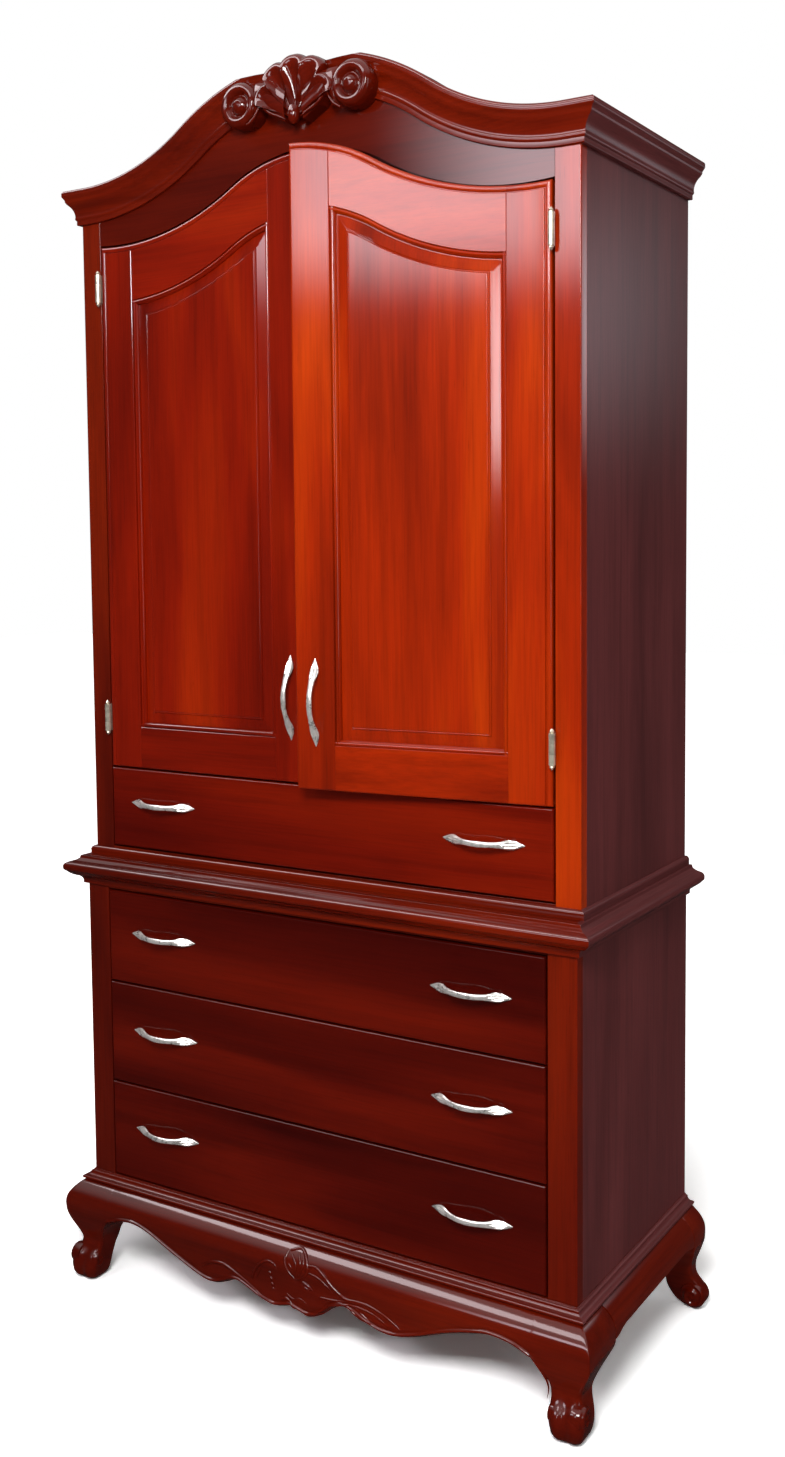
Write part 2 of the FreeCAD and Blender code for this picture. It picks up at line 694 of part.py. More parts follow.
def build_hanging_rail():
    """A round rail from side to side, in a flange at each end."""
    left_end = "-upper_inside + flange_thickness"
    right_end = "upper_inside - flange_thickness"
    pieces = []
    for name, radius, low, high in (
            ("rail_rod", "rail_radius", left_end, right_end),
            ("left_flange", "flange_radius", "-upper_inside", left_end),
            ("right_flange", "flange_radius", right_end, "upper_inside")):
        piece = doc.addObject("Part::Cylinder", name)
        bind(piece, "Radius", radius)
        bind(piece, "Height", "(%s) - (%s)" % (high, low))
        bind(piece, "Placement.Base.x", low)
        bind(piece, "Placement.Base.y", "(upper_frame_back + board_back) / 2")
        bind(piece, "Placement.Base.z", "level_top - shelf_thickness - rail_drop")
        piece.Placement.Rotation = Rotation(UP, ACROSS)
        pieces.append(piece)
    return group("hanging_rail", pieces)


def build_frieze():
    """The shaped rail over the doors: arched below, and above it follows the cornice."""
    half = size.upper_opening
    lower_edge = door_arch.corners(-half, half, size.front_gap)
    upper_edge = cornice_line.corners(half, -half, size.cornice_height)
    rail = front_prism(lower_edge + upper_edge, size.upper_front, size.upper_frame_back)
    return feature("frieze_rail", planed(rail))


def planed(shape):
    """Cut level where the crest is planted on the cornice."""
    flat = size.level_top + size.cornice_planed_rise
    reach = size.cornice_reach
    above = Part.makeBox(2 * reach, 2 * reach, size.cornice_rise, Vector(-reach, -reach, flat))
    return shape.cut(above)


# ---------------------------------------------------------------- mouldings
CORNICE_SHARES = (
    (0, 0), (0.11, 0), (0.34, 0.13, QUARTER), (0.34, 0.23), (0.62, 0.52, -0.2), (0.94, 0.80, 0.25),
    (1, 0.81), (1, 1), (0, 1),
)
WAIST_SHARES = (
    (0, 0), (0.2, 0), (0.2, 0.08), (0.46, 0.28, -0.35), (0.88, 0.47, 0.15), (1, 0.58, 0.3), (1, 0.66),
    (0.76, 0.79, 0.3), (0.34, 0.91, -0.15), (0.3, 1), (0, 1),
)
BEAD_SHARES = ((0, 0), (1, 0), (1, 0.4), (0.4, 1, QUARTER), (0, 1))
BASE_SHARES = (
    (0, 0), (0.85, 0), (1, 0.14, QUARTER), (0.6, 0.45, QUARTER), (0.6, 0.55), (0.1, 1, -QUARTER), (0, 1),
)


def build_mouldings():
    """The mouldings that go round the front and both sides of the cases."""
    waist = stretched(WAIST_SHARES, size.waist_projection, size.waist_height)
    bead = stretched(BEAD_SHARES, size.bead_projection, size.bead_height)
    base = stretched(BASE_SHARES, size.base_moulding_projection, size.base_moulding_height)
    return [
        feature("waist_moulding", *mitred_runs(waist, size.lower_half, size.lower_front, size.back_plane,
                                               size.waist_level)),
        feature("upper_bead", *mitred_runs(bead, size.upper_half, size.upper_front, size.back_plane,
                                           size.split_level)),
        feature("base_moulding", *mitred_runs(base, size.lower_half, size.lower_front, size.back_plane,
                                              size.leg_top)),
    ]


def build_cornice():
    """The cornice: one bent run over the front and a straight return along each side."""
    section = stretched(CORNICE_SHARES, size.cornice_projection, size.cornice_height)
    straight, left_return, right_return = mitred_runs(
        section, size.upper_half, size.upper_front, size.back_plane, size.cornice_low)
    # the line is the cornice's lower edge, so all of the section lies outward of it
    carried = [(-height, size.upper_front - projection) for projection, height in section]
    cap, hollow = cornice_line.carry(carried, 0, 90, 270)
    level_end = Part.makeBox(2 * size.cornice_height, 4 * size.cornice_projection, 2 * size.cornice_height,
                             Vector(size.cornice_reach, size.upper_front - 2 * size.cornice_projection,
                                    size.cornice_low - size.cornice_height / 2))
    half_run = cap.fuse([hollow, straight.common(level_end)])
    front_run = planed(half_run.fuse(mirrored(half_run)).removeSplitter())
    return [
        feature("cornice_front", *front_run.Solids),
        feature("cornice_returns", left_return, right_return),
    ]


# ---------------------------------------------------------------- drawers
def drawer_side(name, side, guide, foot, head, front_back):
    """A drawer side, grooved for the bottom."""
    sign = "%d * " % side
    outer = sign + "(%s - drawer_side_play)" % guide
    inner = sign + "(%s - drawer_side_play - drawer_side_thickness)" % guide
    floor = sign + "(%s - drawer_side_play - drawer_side_thickness + groove_depth)" % guide
    groove_low = foot + " + drawer_bottom_lift"
    groove_high = groove_low + " + drawer_bottom_thickness"
    return bar(name, "back", front_back + " - lap_depth", "drawer_back", [
        (inner, foot),
        (outer, foot),
        (outer, head),
        (inner, head),
        (inner, groove_high),
        (floor, groove_high),
        (floor, groove_low),
        (inner, groove_low),
    ])


def drawer_front(name, opening, guide, face, front_foot, front_head, foot, head):
    """A front with rounded edges, laps for the sides and a groove for the bottom."""
    body = doc.addObject("PartDesign::Body", name)
    body.Label = name
    half = "(%s - front_gap)" % opening
    rear = "(%s + drawer_front_thickness)" % face
    inner = "(%s - drawer_side_play - drawer_side_thickness)" % guide
    outline = [("-" + half, front_foot), (half, front_foot), (half, front_head), ("-" + half, front_head)]
    pad = body.newObject("PartDesign::Pad", name + "_pad")
    pad.Profile = sketch_on(body, "XZ_Plane", name + "_outline", "-" + rear, [outline])
    bind(pad, "Length", "drawer_front_thickness")
    doc.recompute()
    forward = next(number for number, side in enumerate(pad.Shape.Faces, start=1)
                   if side.normalAt(0, 0).y < -0.9)
    rounding = body.newObject("PartDesign::Fillet", name + "_edges")
    rounding.Base = (pad, ["Face%d" % forward])
    bind(rounding, "Radius", "drawer_edge_round")
    doc.recompute()
    laps = [[(low, foot), (high, foot), (high, head), (low, head)]
            for low, high in mirror_pair(inner, half + " + front_gap")]
    cut_into_rear(body, name + "_laps", rear, laps, "lap_depth")
    bottom_low = foot + " + drawer_bottom_lift"
    bottom_high = bottom_low + " + drawer_bottom_thickness"
    groove = [("-" + inner, bottom_low), (inner, bottom_low),
              (inner, bottom_high), ("-" + inner, bottom_high)]
    cut_into_rear(body, name + "_groove", rear, [groove], "groove_depth")
    return body


def cut_into_rear(body, name, rear, outlines, depth):
    """Pockets of one depth, cut forward from the rear face of a front."""
    pocket = body.newObject("PartDesign::Pocket", name)
    pocket.Profile = sketch_on(body, "XZ_Plane", name + "_outline", "-" + rear, outlines)
    pocket.Reversed = True
    bind(pocket, "Length", depth)


def build_drawer(prefix, opening, guide, face, front_foot, front_head, runner_top, pull_offset):
    """One drawer: front, box, bottom and two pulls."""
    foot = "(%s + running_gap)" % runner_top
    head = "(%s - box_headroom)" % front_head
    front_back = "(%s + drawer_front_thickness)" % face
    inner = "(%s - drawer_side_play - drawer_side_thickness)" % guide
    bottom_low = foot + " + drawer_bottom_lift"
    bottom_high = bottom_low + " + drawer_bottom_thickness"
    front = drawer_front(prefix + "_front", opening, guide, face, front_foot, front_head, foot, head)
    sides = [drawer_side("%s_%s_side" % (prefix, word), side, guide, foot, head, front_back)
             for word, side in SIDES]
    back = board(prefix + "_back", ("-" + inner, inner),
                 ("drawer_back - drawer_side_thickness", "drawer_back"), (bottom_high, head))
    box = group(prefix + "_box", sides + [back])
    bottom = board(prefix + "_bottom", ("-%s - groove_depth" % inner, inner + " + groove_depth"),
                   (front_back + " - groove_depth", "drawer_back"), (bottom_low, bottom_high))
    level = value("(%s + %s) / 2 + pull_lift" % (front_foot, front_head))
    place = value(face)
    pull = bow_pull()
    pulls = [pull.translated(Vector(side * value(pull_offset), place, level)) for word, side in SIDES]
    return [front, box, bottom, feature(prefix + "_pulls", *pulls)]


def build_runners():
    """For each drawer a runner under each side, and on it a guide along the side."""
    runs = (
        ("bottom", "lower_guide", "lower_inside", "bottom_board_top", "runner_thickness",
         "lower_frame_back"),
        ("middle", "lower_guide", "lower_inside", "low_divider_foot", "divider_thickness", "divider_back"),
        ("top", "lower_guide", "lower_inside", "high_divider_foot", "divider_thickness", "divider_back"),
        ("upper", "upper_guide", "upper_inside", "upper_floor_top", "upper_runner_thickness",
         "upper_frame_back"),
    )
    pieces = []
    for word, guide, inside, foot, thickness, front in runs:
        top = "%s + %s" % (foot, thickness)
        low = "(%s - runner_overlap)" % guide
        for number, span in enumerate(mirror_pair(low, inside)):
            pieces.append(board("%s_runner_%d" % (word, number), span, (front, "board_back"), (foot, top)))
        for number, span in enumerate(mirror_pair(guide, inside)):
            pieces.append(board("%s_guide_%d" % (word, number), span, (front, "board_back"),
                                (top, top + " + guide_height")))
    return group("drawer_runners", pieces)


def build_drawers():
    """The drawer under the doors and the three below it."""
    lower_face = "(lower_front - drawer_proud)"
    upper_face = "(upper_front - drawer_proud)"
    nodes = build_drawer("upper_drawer", "upper_opening", "upper_guide", upper_face, "upper_drawer_foot",
                         "upper_drawer_head", "(upper_floor_top + upper_runner_thickness)",
                         "upper_pull_offset")
    for word, foot, head, runner_top in (
            ("top", "top_drawer_foot", "top_drawer_head", "(high_divider_foot + divider_thickness)"),
            ("middle", "middle_drawer_foot", "middle_drawer_head", "(low_divider_foot + divider_thickness)"),
            ("bottom", "bottom_drawer_foot", "bottom_drawer_head", "(bottom_board_top + runner_thickness)")):
        nodes += build_drawer(word + "_drawer", "lower_opening", "lower_guide", lower_face, foot, head,
                              runner_top, "lower_pull_offset")
    return nodes


# the bow of a pull is drawn with this many flats along its arc
BOW_FLATS = 10


def bow_pull():
    """A cast pull: a bow between two leaf-shaped feet, along X, its back on the plane y = 0."""
    plate = size.leaf_plate
    thick = size.bow_thickness / 2
    wide = size.bow_width / 2
    bevel = size.bow_bevel
    reach = size.pull_span / 2
    crown = size.pull_rise - thick
    sagitta = crown - plate / 2
    radius = (reach ** 2 + sagitta ** 2) / (2 * sagitta)
    swing = math.asin(reach / radius)
    section = [(-thick, -wide), (thick - bevel, -wide), (thick, 2 * bevel - wide),
               (thick, wide - 2 * bevel), (thick - bevel, wide), (-thick, wide)]
    rings = []
    for flat in range(BOW_FLATS + 1):
        angle = swing * (2 * flat / BOW_FLATS - 1)
        rings.append([Vector((radius + out) * math.sin(angle),
                             radius - crown - (radius + out) * math.cos(angle), up)
                      for out, up in section])
    leaf_half = size.leaf_length / 2
    bulge = size.leaf_width / size.leaf_length
    leaf = front_prism(in_chords([(leaf_half, 0, bulge), (-leaf_half, 0, bulge)], 4), -plate, 0)
    stand = size.pull_length / 2 - leaf_half
    return stacked(rings).fuse([leaf.translated(ACROSS * stand), leaf.translated(ACROSS * -stand)])


# ---------------------------------------------------------------- doors
def door_outline(near, far, foot, lift):
    """The outline of the right door or of its opening, as seen from the front."""
    return [(near, foot), (far, foot)] + door_arch.corners(far, near, lift)


def door_runs(near, far, foot, lift, section):
    """A (inward, behind the face) section carried along all four edges: sides, foot and arch."""
    section = in_chords(section)
    face = size.door_face
    low = foot - size.door_bottom_flat
    tall = size.arch_top - low + size.door_top_flat
    wide = far - near + 2 * size.door_stile_flat
    near_run = flat_face(section, lambda inward, depth: Vector(near + inward, face + depth, low))
    far_run = flat_face(section, lambda inward, depth: Vector(far - inward, face + depth, low))
    foot_run = flat_face(
        section, lambda inward, depth: Vector(near - size.door_stile_flat, face + depth, foot + inward))
    arch_section = [(inward, face + depth) for inward, depth in section]
    arch_runs = door_arch.carry(arch_section, lift, 100, 290)
    uprights = near_run.extrude(UP * tall), far_run.extrude(UP * tall)
    return uprights + (foot_run.extrude(ACROSS * wide), arch_runs)


def door_wood():
    """The closed right door: its two stiles, its rails and its raised panel."""
    near = size.meeting_edge
    far = size.door_edge
    foot = size.door_foot
    face = size.door_face
    back = face + size.door_thickness
    blank = front_prism(door_outline(near, far, foot, 0), face, back)

    # the rounded outer edge
    soft = size.door_edge_round
    near_round, far_round, foot_round, arch_rounds = door_runs(near, far, foot, 0, [
        (-1, -1), (soft, -1), (soft, 0), (0, soft, QUARTER), (-1, soft)])
    blank = blank.cut([near_round, far_round, foot_round]).cut(arch_rounds[0]).cut(arch_rounds[1])

    # the sight line, where the frame ends and the panel begins to show
    sight_near = near + size.door_stile_flat + size.sticking_width
    sight_far = far - size.door_stile_flat - size.sticking_width
    sight_foot = foot + size.door_bottom_flat + size.sticking_width
    sight_lift = -size.door_top_flat - size.sticking_width
    fall = size.sticking_depth - size.sticking_quirk
    ovolo_bulge = math.tan(math.atan2(fall, size.sticking_width) / 2)
    ovolo = [(-size.sticking_width, -1), (1, -1), (1, size.sticking_depth), (0, size.sticking_depth),
             (-size.sticking_width, size.sticking_quirk, ovolo_bulge)]
    groove_back = size.groove_set_back + size.panel_tongue
    groove = [(-size.panel_groove_depth, size.groove_set_back), (1, size.groove_set_back),
              (1, groove_back), (-size.panel_groove_depth, groove_back)]
    ovolos = door_runs(sight_near, sight_far, sight_foot, sight_lift, ovolo)
    grooves = door_runs(sight_near, sight_far, sight_foot, sight_lift, groove)

    # stiles run the full height, rails are coped over their ovolo
    tall = size.arch_top - foot
    near_bar = Part.makeBox(sight_near - near, 2 * tall, 2 * tall, Vector(near, face - tall, foot - 1))
    far_bar = Part.makeBox(far - sight_far, 2 * tall, 2 * tall, Vector(sight_far, face - tall, foot - 1))
    near_stile = blank.common(near_bar).cut(ovolos[0]).cut(grooves[0])
    far_stile = blank.common(far_bar).cut(ovolos[1]).cut(grooves[1])
    rail_near = near + size.door_stile_flat
    rail_far = far - size.door_stile_flat
    foot_bar = Part.makeBox(rail_far - rail_near, 2 * tall, sight_foot - foot + 1,
                            Vector(rail_near, face - tall, foot - 1))
    bottom_rail = blank.common(foot_bar).cut(ovolos[2]).cut(grooves[2]).cut([near_stile, far_stile])
    under_arch = door_arch.corners(rail_near, rail_far, sight_lift)
    head_bar = front_prism(under_arch + [(rail_far, foot + 2 * tall), (rail_near, foot + 2 * tall)],
                           face - 1, back + 1)
    top_rail = blank.common(head_bar)
    for cutter in ovolos[3] + grooves[3]:
        top_rail = top_rail.cut(cutter)
    top_rail = top_rail.cut([near_stile, far_stile])

    # the panel floats in the grooves
    tongue = size.panel_groove_depth - size.panel_play
    field_front = size.groove_set_back - size.bevel_rise - size.field_step
    panel = front_prism(
        door_outline(sight_near - tongue, sight_far + tongue, sight_foot - tongue, sight_lift + tongue),
        face + field_front, face + groove_back)
    bevel = [(-2 * tongue, field_front - 1), (size.bevel_width, field_front - 1),
             (size.bevel_width, field_front + size.field_step), (0, size.groove_set_back),
             (-2 * tongue, size.groove_set_back)]
    bevels = door_runs(sight_near, sight_far, sight_foot, sight_lift, bevel)
    panel = panel.cut(list(bevels[:3])).cut(bevels[3][0]).cut(bevels[3][1])
    return near_stile, far_stile, top_rail, bottom_rail, panel


# the barrel of a hinge, its bore and its pin are drawn with this many flats
HINGE_FLATS = 12


def hinge_pieces(level):
    """One closed hinge of the right door: frame leaf, door leaf and pin."""
    play = size.knuckle_gap
    third = (size.hinge_height - 2 * play) / 3
    outer = size.barrel_radius
    # the flats of the bore stay clear of the pin however it is turned
    bore = (size.pin_radius + size.pin_play) / math.cos(math.pi / HINGE_FLATS)
    x = size.hinge_line
    y = size.pin_line
    low = level - size.hinge_height / 2

    def knuckle(start):
        barrel = faceted([(outer, 0), (outer, third)], HINGE_FLATS)
        hole = faceted([(bore, 0), (bore, third)], HINGE_FLATS)
        return barrel.cut(hole).translated(Vector(x, y, low + start))

    def leaf(inner_face, start, height):
        step = (outer + bore) / 2
        return Part.makeBox(size.leaf_thickness, size.leaf_reach - step, height,
                            Vector(inner_face, y + step, low + start))

    frame_face = x + size.leaf_play / 2
    door_leaf_face = x - size.leaf_play / 2 - size.leaf_thickness
    upper_start = 2 * (third + play)
    frame_leaf = knuckle(0).fuse([knuckle(upper_start), leaf(frame_face, 0, size.hinge_height)])
    middle_room = Part.makeBox(size.leaf_thickness + 2, outer, third + 2 * play,
                               Vector(frame_face - 1, y, low + third))
    frame_leaf = frame_leaf.cut(middle_room)
    door_leaf = knuckle(third + play).fuse(leaf(door_leaf_face, 0, size.hinge_height))
    for start in (0, upper_start):
        foot = Vector(x, y, low + start - play)
        door_leaf = door_leaf.cut(Part.makeCylinder(outer + play, third + 2 * play, foot))
    return frame_leaf, door_leaf, hinge_pin(x, y, low)


def hinge_pin(x, y, low):
    """A pin with a cut tip over and under the barrel."""
    tip = [(size.finial_neck, 0), (size.finial_radius, size.finial_bulb),
           (size.finial_end, size.finial_height)]
    head = [(radius, size.hinge_height + lift) for radius, lift in tip]
    foot = [(radius, -lift) for radius, lift in reversed(tip)]
    # the pin itself is a little thinner than the foot of each tip
    shank = [(size.pin_radius, 0), (size.pin_radius, size.hinge_height)]
    return faceted(foot + shank + head, HINGE_FLATS).translated(Vector(x, y, low))


def build_doors():
    """Both doors and their hinges. The right one stands ajar."""
    low_hinge = hinge_pieces(size.door_foot + size.low_hinge_height)
    high_hinge = hinge_pieces(size.arch_low - size.high_hinge_drop)
    pull = bow_pull()
    pull.rotate(ORIGIN, BACK, 90)
    pull.translate(Vector(size.meeting_edge + size.door_pull_inset, size.door_face,
                          size.door_foot + size.door_pull_height))
    near_stile, far_stile, top_rail, bottom_rail, panel = door_wood()
    ajar = Placement(ORIGIN, Rotation(UP, size.ajar_angle), Vector(size.hinge_line, size.pin_line, 0))
    nodes = []
    for word, side in SIDES:
        parts = (
            ("stiles", (near_stile, far_stile)),
            ("top_rail", (top_rail,)),
            ("bottom_rail", (bottom_rail,)),
            ("panel", (panel,)),
            ("pull", (pull,)),
            ("hinge_leaves", (low_hinge[1], high_hinge[1])),
        )
        for name, shapes in parts:
            node = feature("%s_door_%s" % (word, name), *[handed(shape, side) for shape in shapes])
            if side == RIGHT_SIDE:
                node.Placement = ajar * node.Placement
            nodes.append(node)
    frame_leaves = [handed(hinge[0], side) for hinge in (low_hinge, high_hinge) for word, side in SIDES]
    pins = [handed(hinge[2], side) for hinge in (low_hinge, high_hinge) for word, side in SIDES]
    nodes.append(feature("hinge_frame_leaves", *frame_leaves))
    nodes.append(feature("hinge_pins", *pins))
    return nodes


# ---------------------------------------------------------------- base frame
# Stations of a cabriole leg from the floor up, as shares of the height where its shoulder starts.
# A front leg has its outer and inner side, its front and its back, each before the case's face, and
# the rounding of its edges.
FRONT_LEG = (
    (0.00, 12, -14, 24, -2, 9),
    (0.06, 22, -24, 36, -12, 9),
    (0.15, 28, -30, 43, -18, 9),
    (0.24, 29, -33, 44, -22, 9),
    (0.33, 26, -34, 37, -26, 9),
    (0.42, 21, -34, 25, -30, 9),
    (0.50, 19, -35, 19, -34, 8),
    (0.60, 23, -37, 23, -37, 6),
    (0.70, 29, -43, 29, -43, 4),
    (0.79, 35, -51, 35, -51, 2),
)
# A rear leg has its outer and inner side, its depth from the back, and the rounding of its edges.
REAR_LEG = (
    (0.00, 26, 2, 13, 4),
    (0.06, 40, -10, 19, 6),
    (0.15, 48, -20, 23, 7),
    (0.24, 49, -26, 26, 7),
    (0.33, 41, -28, 28, 7),
    (0.42, 27, -28, 30, 7),
    (0.50, 24, -30, 32, 7),
    (0.60, 25, -34, 36, 6),
    (0.70, 30, -42, 43, 4),
    (0.79, 35, -51, 50, 2),
)
# The knee is as wide as the leg's post from this share up, and there it is this much hollow.
KNEE_START = 0.87
KNEE_HOLLOW = 1


def level_arc(run, rise):
    """The bulge of an arc that leaves or meets a level line and covers run and rise."""
    return math.tan(math.atan2(rise, run) / 2)


def rounded_ring(x_low, x_high, y_low, y_high, level, soft):
    """A rectangle with rounded corners, seen from above. The outer front corner is an arris."""
    arris = max(soft, size.leg_arris)
    corners = in_chords([
        (x_low, y_low + soft), (x_low + soft, y_low, QUARTER), (x_high - arris, y_low),
        (x_high, y_low + arris, QUARTER), (x_high, y_high - soft), (x_high - soft, y_high, QUARTER),
        (x_low + soft, y_high), (x_low, y_high - soft, QUARTER)])
    return [Vector(x, y, level) for x, y in corners]


def shoulder_line():
    """The rounded shoulder of an apron and of a knee: (projection, height over the leg's top)."""
    run = size.apron_swell - size.apron_shelf
    bulge = level_arc(size.shoulder_drop, run)
    return in_chords([(size.apron_swell, -size.shoulder_drop), (size.apron_shelf, 0, bulge)], 4)


def build_legs():
    """Four short cabriole legs: the toes of the front ones roll forward, of the rear ones sideways."""
    half = size.lower_half
    top = size.leg_top
    front = size.lower_front
    back = size.back_plane
    front_rings = [
        rounded_ring(half + inner, half + outer, front - fore, front - rear, share * size.knee_level, soft)
        for share, outer, inner, fore, rear, soft in FRONT_LEG]
    rear_rings = [
        rounded_ring(half + inner, half + outer, back - depth, back, share * size.knee_level, soft)
        for share, outer, inner, depth, soft in REAR_LEG]
    knee = [(size.apron_swell - KNEE_HOLLOW, KNEE_START * size.knee_level - top)]
    for out, height in knee + shoulder_line():
        front_rings.append(rounded_ring(size.leg_inside, half + out, front - out, size.front_leg_back,
                                        top + height, size.leg_joint_round))
        rear_rings.append(rounded_ring(size.leg_inside, half + out, size.rear_leg_front, back,
                                       top + height, size.leg_joint_round))
    front_post = Part.makeBox(size.leg_post, size.leg_post, size.base_moulding_height,
                              Vector(size.leg_inside, front, top))
    rear_post = Part.makeBox(size.leg_post, size.rear_leg_depth, size.base_moulding_height,
                             Vector(size.leg_inside, size.rear_leg_front, top))
    front_leg = stacked(front_rings).fuse(front_post)
    rear_leg = stacked(rear_rings).fuse(rear_post)
    return [
        feature("front_legs", mirrored(front_leg), front_leg),
        feature("rear_legs", mirrored(rear_leg), rear_leg),
    ]


def apron_section():
    """Tongue behind the base moulding, rounded shoulder and plumb face; down to the floor."""
    swell = size.apron_swell
    inner = swell - size.apron_thickness
    tongue = -size.apron_tongue
    top = size.base_moulding_height
    back = [(tongue, top), (tongue, -size.tongue_drop), (inner, -size.apron_back_drop),
            (inner, -size.leg_top), (swell, -size.leg_top)]
    return back + shoulder_line() + [(0, 0), (0, top)]


def front_apron_edge():
    """The right half of the front apron's lower edge, from the middle to the leg."""
    end = size.leg_inside
    peak = end - size.peak_offset
    lobe_to_peak = peak - size.big_lobe_offset
    climb = size.peak_level - size.big_lobe_level
    sum_of_radii = (lobe_to_peak ** 2 + climb ** 2) / (2 * climb)
    share = 1 - size.arch_end_radius / sum_of_radii
    turn = (size.big_lobe_offset + share * lobe_to_peak, size.big_lobe_level + share * climb)
    slope_bulge = level_arc(lobe_to_peak, climb)
    return [
        (0, size.notch_level),
        (size.small_lobe_offset, size.small_lobe_level,
         level_arc(size.small_lobe_offset, size.notch_level - size.small_lobe_level)),
        (size.cusp_offset, size.cusp_level,
         level_arc(size.cusp_offset - size.small_lobe_offset, size.cusp_level - size.small_lobe_level)),
        (size.big_lobe_offset, size.big_lobe_level,
         level_arc(size.big_lobe_offset - size.cusp_offset, size.cusp_level - size.big_lobe_level)),
        turn + (slope_bulge,),
        (peak, size.peak_level, -slope_bulge),
        (end, size.apron_end_level,
         -level_arc(size.peak_offset, size.peak_level - size.apron_end_level)),
    ]


def build_aprons():
    """Front apron with its scalloped edge, two side aprons with a step, a plain back apron, glue blocks."""
    section = apron_section()
    top = size.leg_top
    above = size.base_height + 1
    end = size.leg_inside
    front_run = flat_face(section, lambda p, h: Vector(-end, size.lower_front - p, top + h))
    front_run = front_run.extrude(ACROSS * 2 * end)
    right_edge = front_apron_edge()
    left_edge = mirrored_line(right_edge)
    outline = left_edge + right_edge[1:] + [(end, above), (-end, above)]
    window = front_prism(outline, size.lower_front - 2 * size.apron_swell, size.lower_front + size.leg_post)
    front_apron = front_run.common(window)

    side_run = flat_face(section, lambda p, h: Vector(size.lower_half + p, size.front_leg_back, top + h))
    side_run = side_run.extrude(BACK * (size.rear_leg_front - size.front_leg_back))
    edge = size.side_apron_edge
    step = size.side_apron_step
    run = size.side_step_run
    bulge = level_arc(run, step)
    y_low = size.front_leg_back
    y_high = size.rear_leg_front
    side_outline = [
        (y_low, edge - step), (y_low + run / 2, edge - step / 2, bulge), (y_low + run, edge, -bulge),
        (y_high - run, edge), (y_high - run / 2, edge - step / 2, -bulge), (y_high, edge - step, bulge),
        (y_high, above), (y_low, above)]
    side_window = flat_face(side_outline, lambda y, z: Vector(size.lower_half - size.leg_post, y, z))
    side_apron = side_run.common(side_window.extrude(ACROSS * 2 * size.leg_post))

    back_apron = board("back_apron", ("-leg_inside", "leg_inside"),
                       ("back_plane - back_apron_thickness", "back_plane"),
                       ("back_apron_edge", "base_height"))
    return [
        feature("front_apron", front_apron),
        feature("side_aprons", mirrored(side_apron), side_apron),
        back_apron,
        build_corner_blocks(),
    ]


def mirrored_line(corners):
    """A line from the middle outwards, drawn on the other side and towards the middle."""
    line = [(-corners[-1][0], corners[-1][1])]
    for before, after in zip(corners[-2::-1], corners[:0:-1]):
        line.append((-before[0], before[1]) + after[2:])
    return line


def build_corner_blocks():
    """A three-cornered glue block behind each leg."""
    low = size.base_height - size.corner_block_height
    blocks = []
    depth = size.corner_block
    x = size.leg_inside
    front = size.front_leg_back
    rear = size.rear_leg_front
    for y, inward in ((front, 1), (rear, -1)):
        corners = [(x, y), (x + size.corner_block_width, y), (x, y + inward * depth)]
        block = plan_prism(corners, low, size.base_height)
        blocks += [mirrored(block), block]
    return feature("corner_blocks", *blocks)


# ---------------------------------------------------------------- crest
RIBS_EACH_SIDE = 3
# a rib of the shell past its widest place: share of the rim's radius, share of that radius further on
RIB_END = ((1, 0), (0.75, 0.55), (0.2, 0.85))
# a scroll button from back to front, with a ring round a domed boss: share of the radius, of the depth
SCROLL_SHARES = ((0.96, 0), (1, 0.12), (0.9, 0.55), (0.7, 0.84), (0.56, 0.9), (0.46, 0.84), (0.28, 0.97),
                 (0.1, 1))


def build_crest(cornice, frieze):
    """The carving before the cornice: a ribbed shell between two scroll buttons, on one block."""
    plane = size.upper_front - size.cornice_projection
    top = size.level_top + size.crest_top_rise
    root = Vector(0, plane - size.crest_root_radius, top - size.crest_length)
    reach = size.crest_length - size.crest_tip_radius
    ribs = []
    rim = [(0, root.z - size.crest_root_radius)]
    for number in range(RIBS_EACH_SIDE, -RIBS_EACH_SIDE - 1, -1):
        angle = math.radians(number * size.crest_rib_angle)
        length = reach - size.crest_droop * number ** 2
        tip = root + Vector(length * math.sin(angle), -size.crest_lean, length * math.cos(angle))
        ribs.append(shell_rib(root, tip))
        rim.append((tip.x, tip.z))
    centre = Vector(size.scroll_offset, 0, size.level_top + size.scroll_rise)
    scroll = scroll_button(centre, size.upper_front - size.scroll_reach, plane)
    neck = front_prism(
        [(0, root.z - size.crest_root_radius), (centre.x, centre.z - size.neck_low),
         (centre.x, centre.z + size.neck_high), (0, root.z + size.neck_high)],
        plane - size.neck_depth, plane)
    block_back = size.upper_front - size.crest_back
    fan_block = front_prism(rim, plane - size.crest_ground, block_back)
    ground = size.scroll_ground_radius
    scroll_block = set_along(faceted([(ground, 0), (ground, block_back - plane)], 10),
                             centre + BACK * block_back, -BACK)
    blocks = fan_block.fuse([scroll_block, mirrored(scroll_block)]).cut([cornice, frieze])
    carving = blocks.fuse(ribs + [scroll, mirrored(scroll), neck, mirrored(neck)])
    return feature("crest_carving", carving.removeSplitter())


def shell_rib(root, tip):
    """A rib that widens from the root of the shell to a blunt tip."""
    along = tip - root
    thick = size.crest_tip_radius
    stations = [(size.crest_root_radius, 0)]
    stations += [(share * thick, along.Length + further * thick) for share, further in RIB_END]
    return set_along(faceted(stations, 8), root, along)


def scroll_button(centre, front, back):
    """A turned button between two planes."""
    depth = back - front
    stations = [(share * size.scroll_radius, forward * depth) for share, forward in SCROLL_SHARES]
    return set_along(faceted(stations, 16), centre + BACK * back, -BACK)


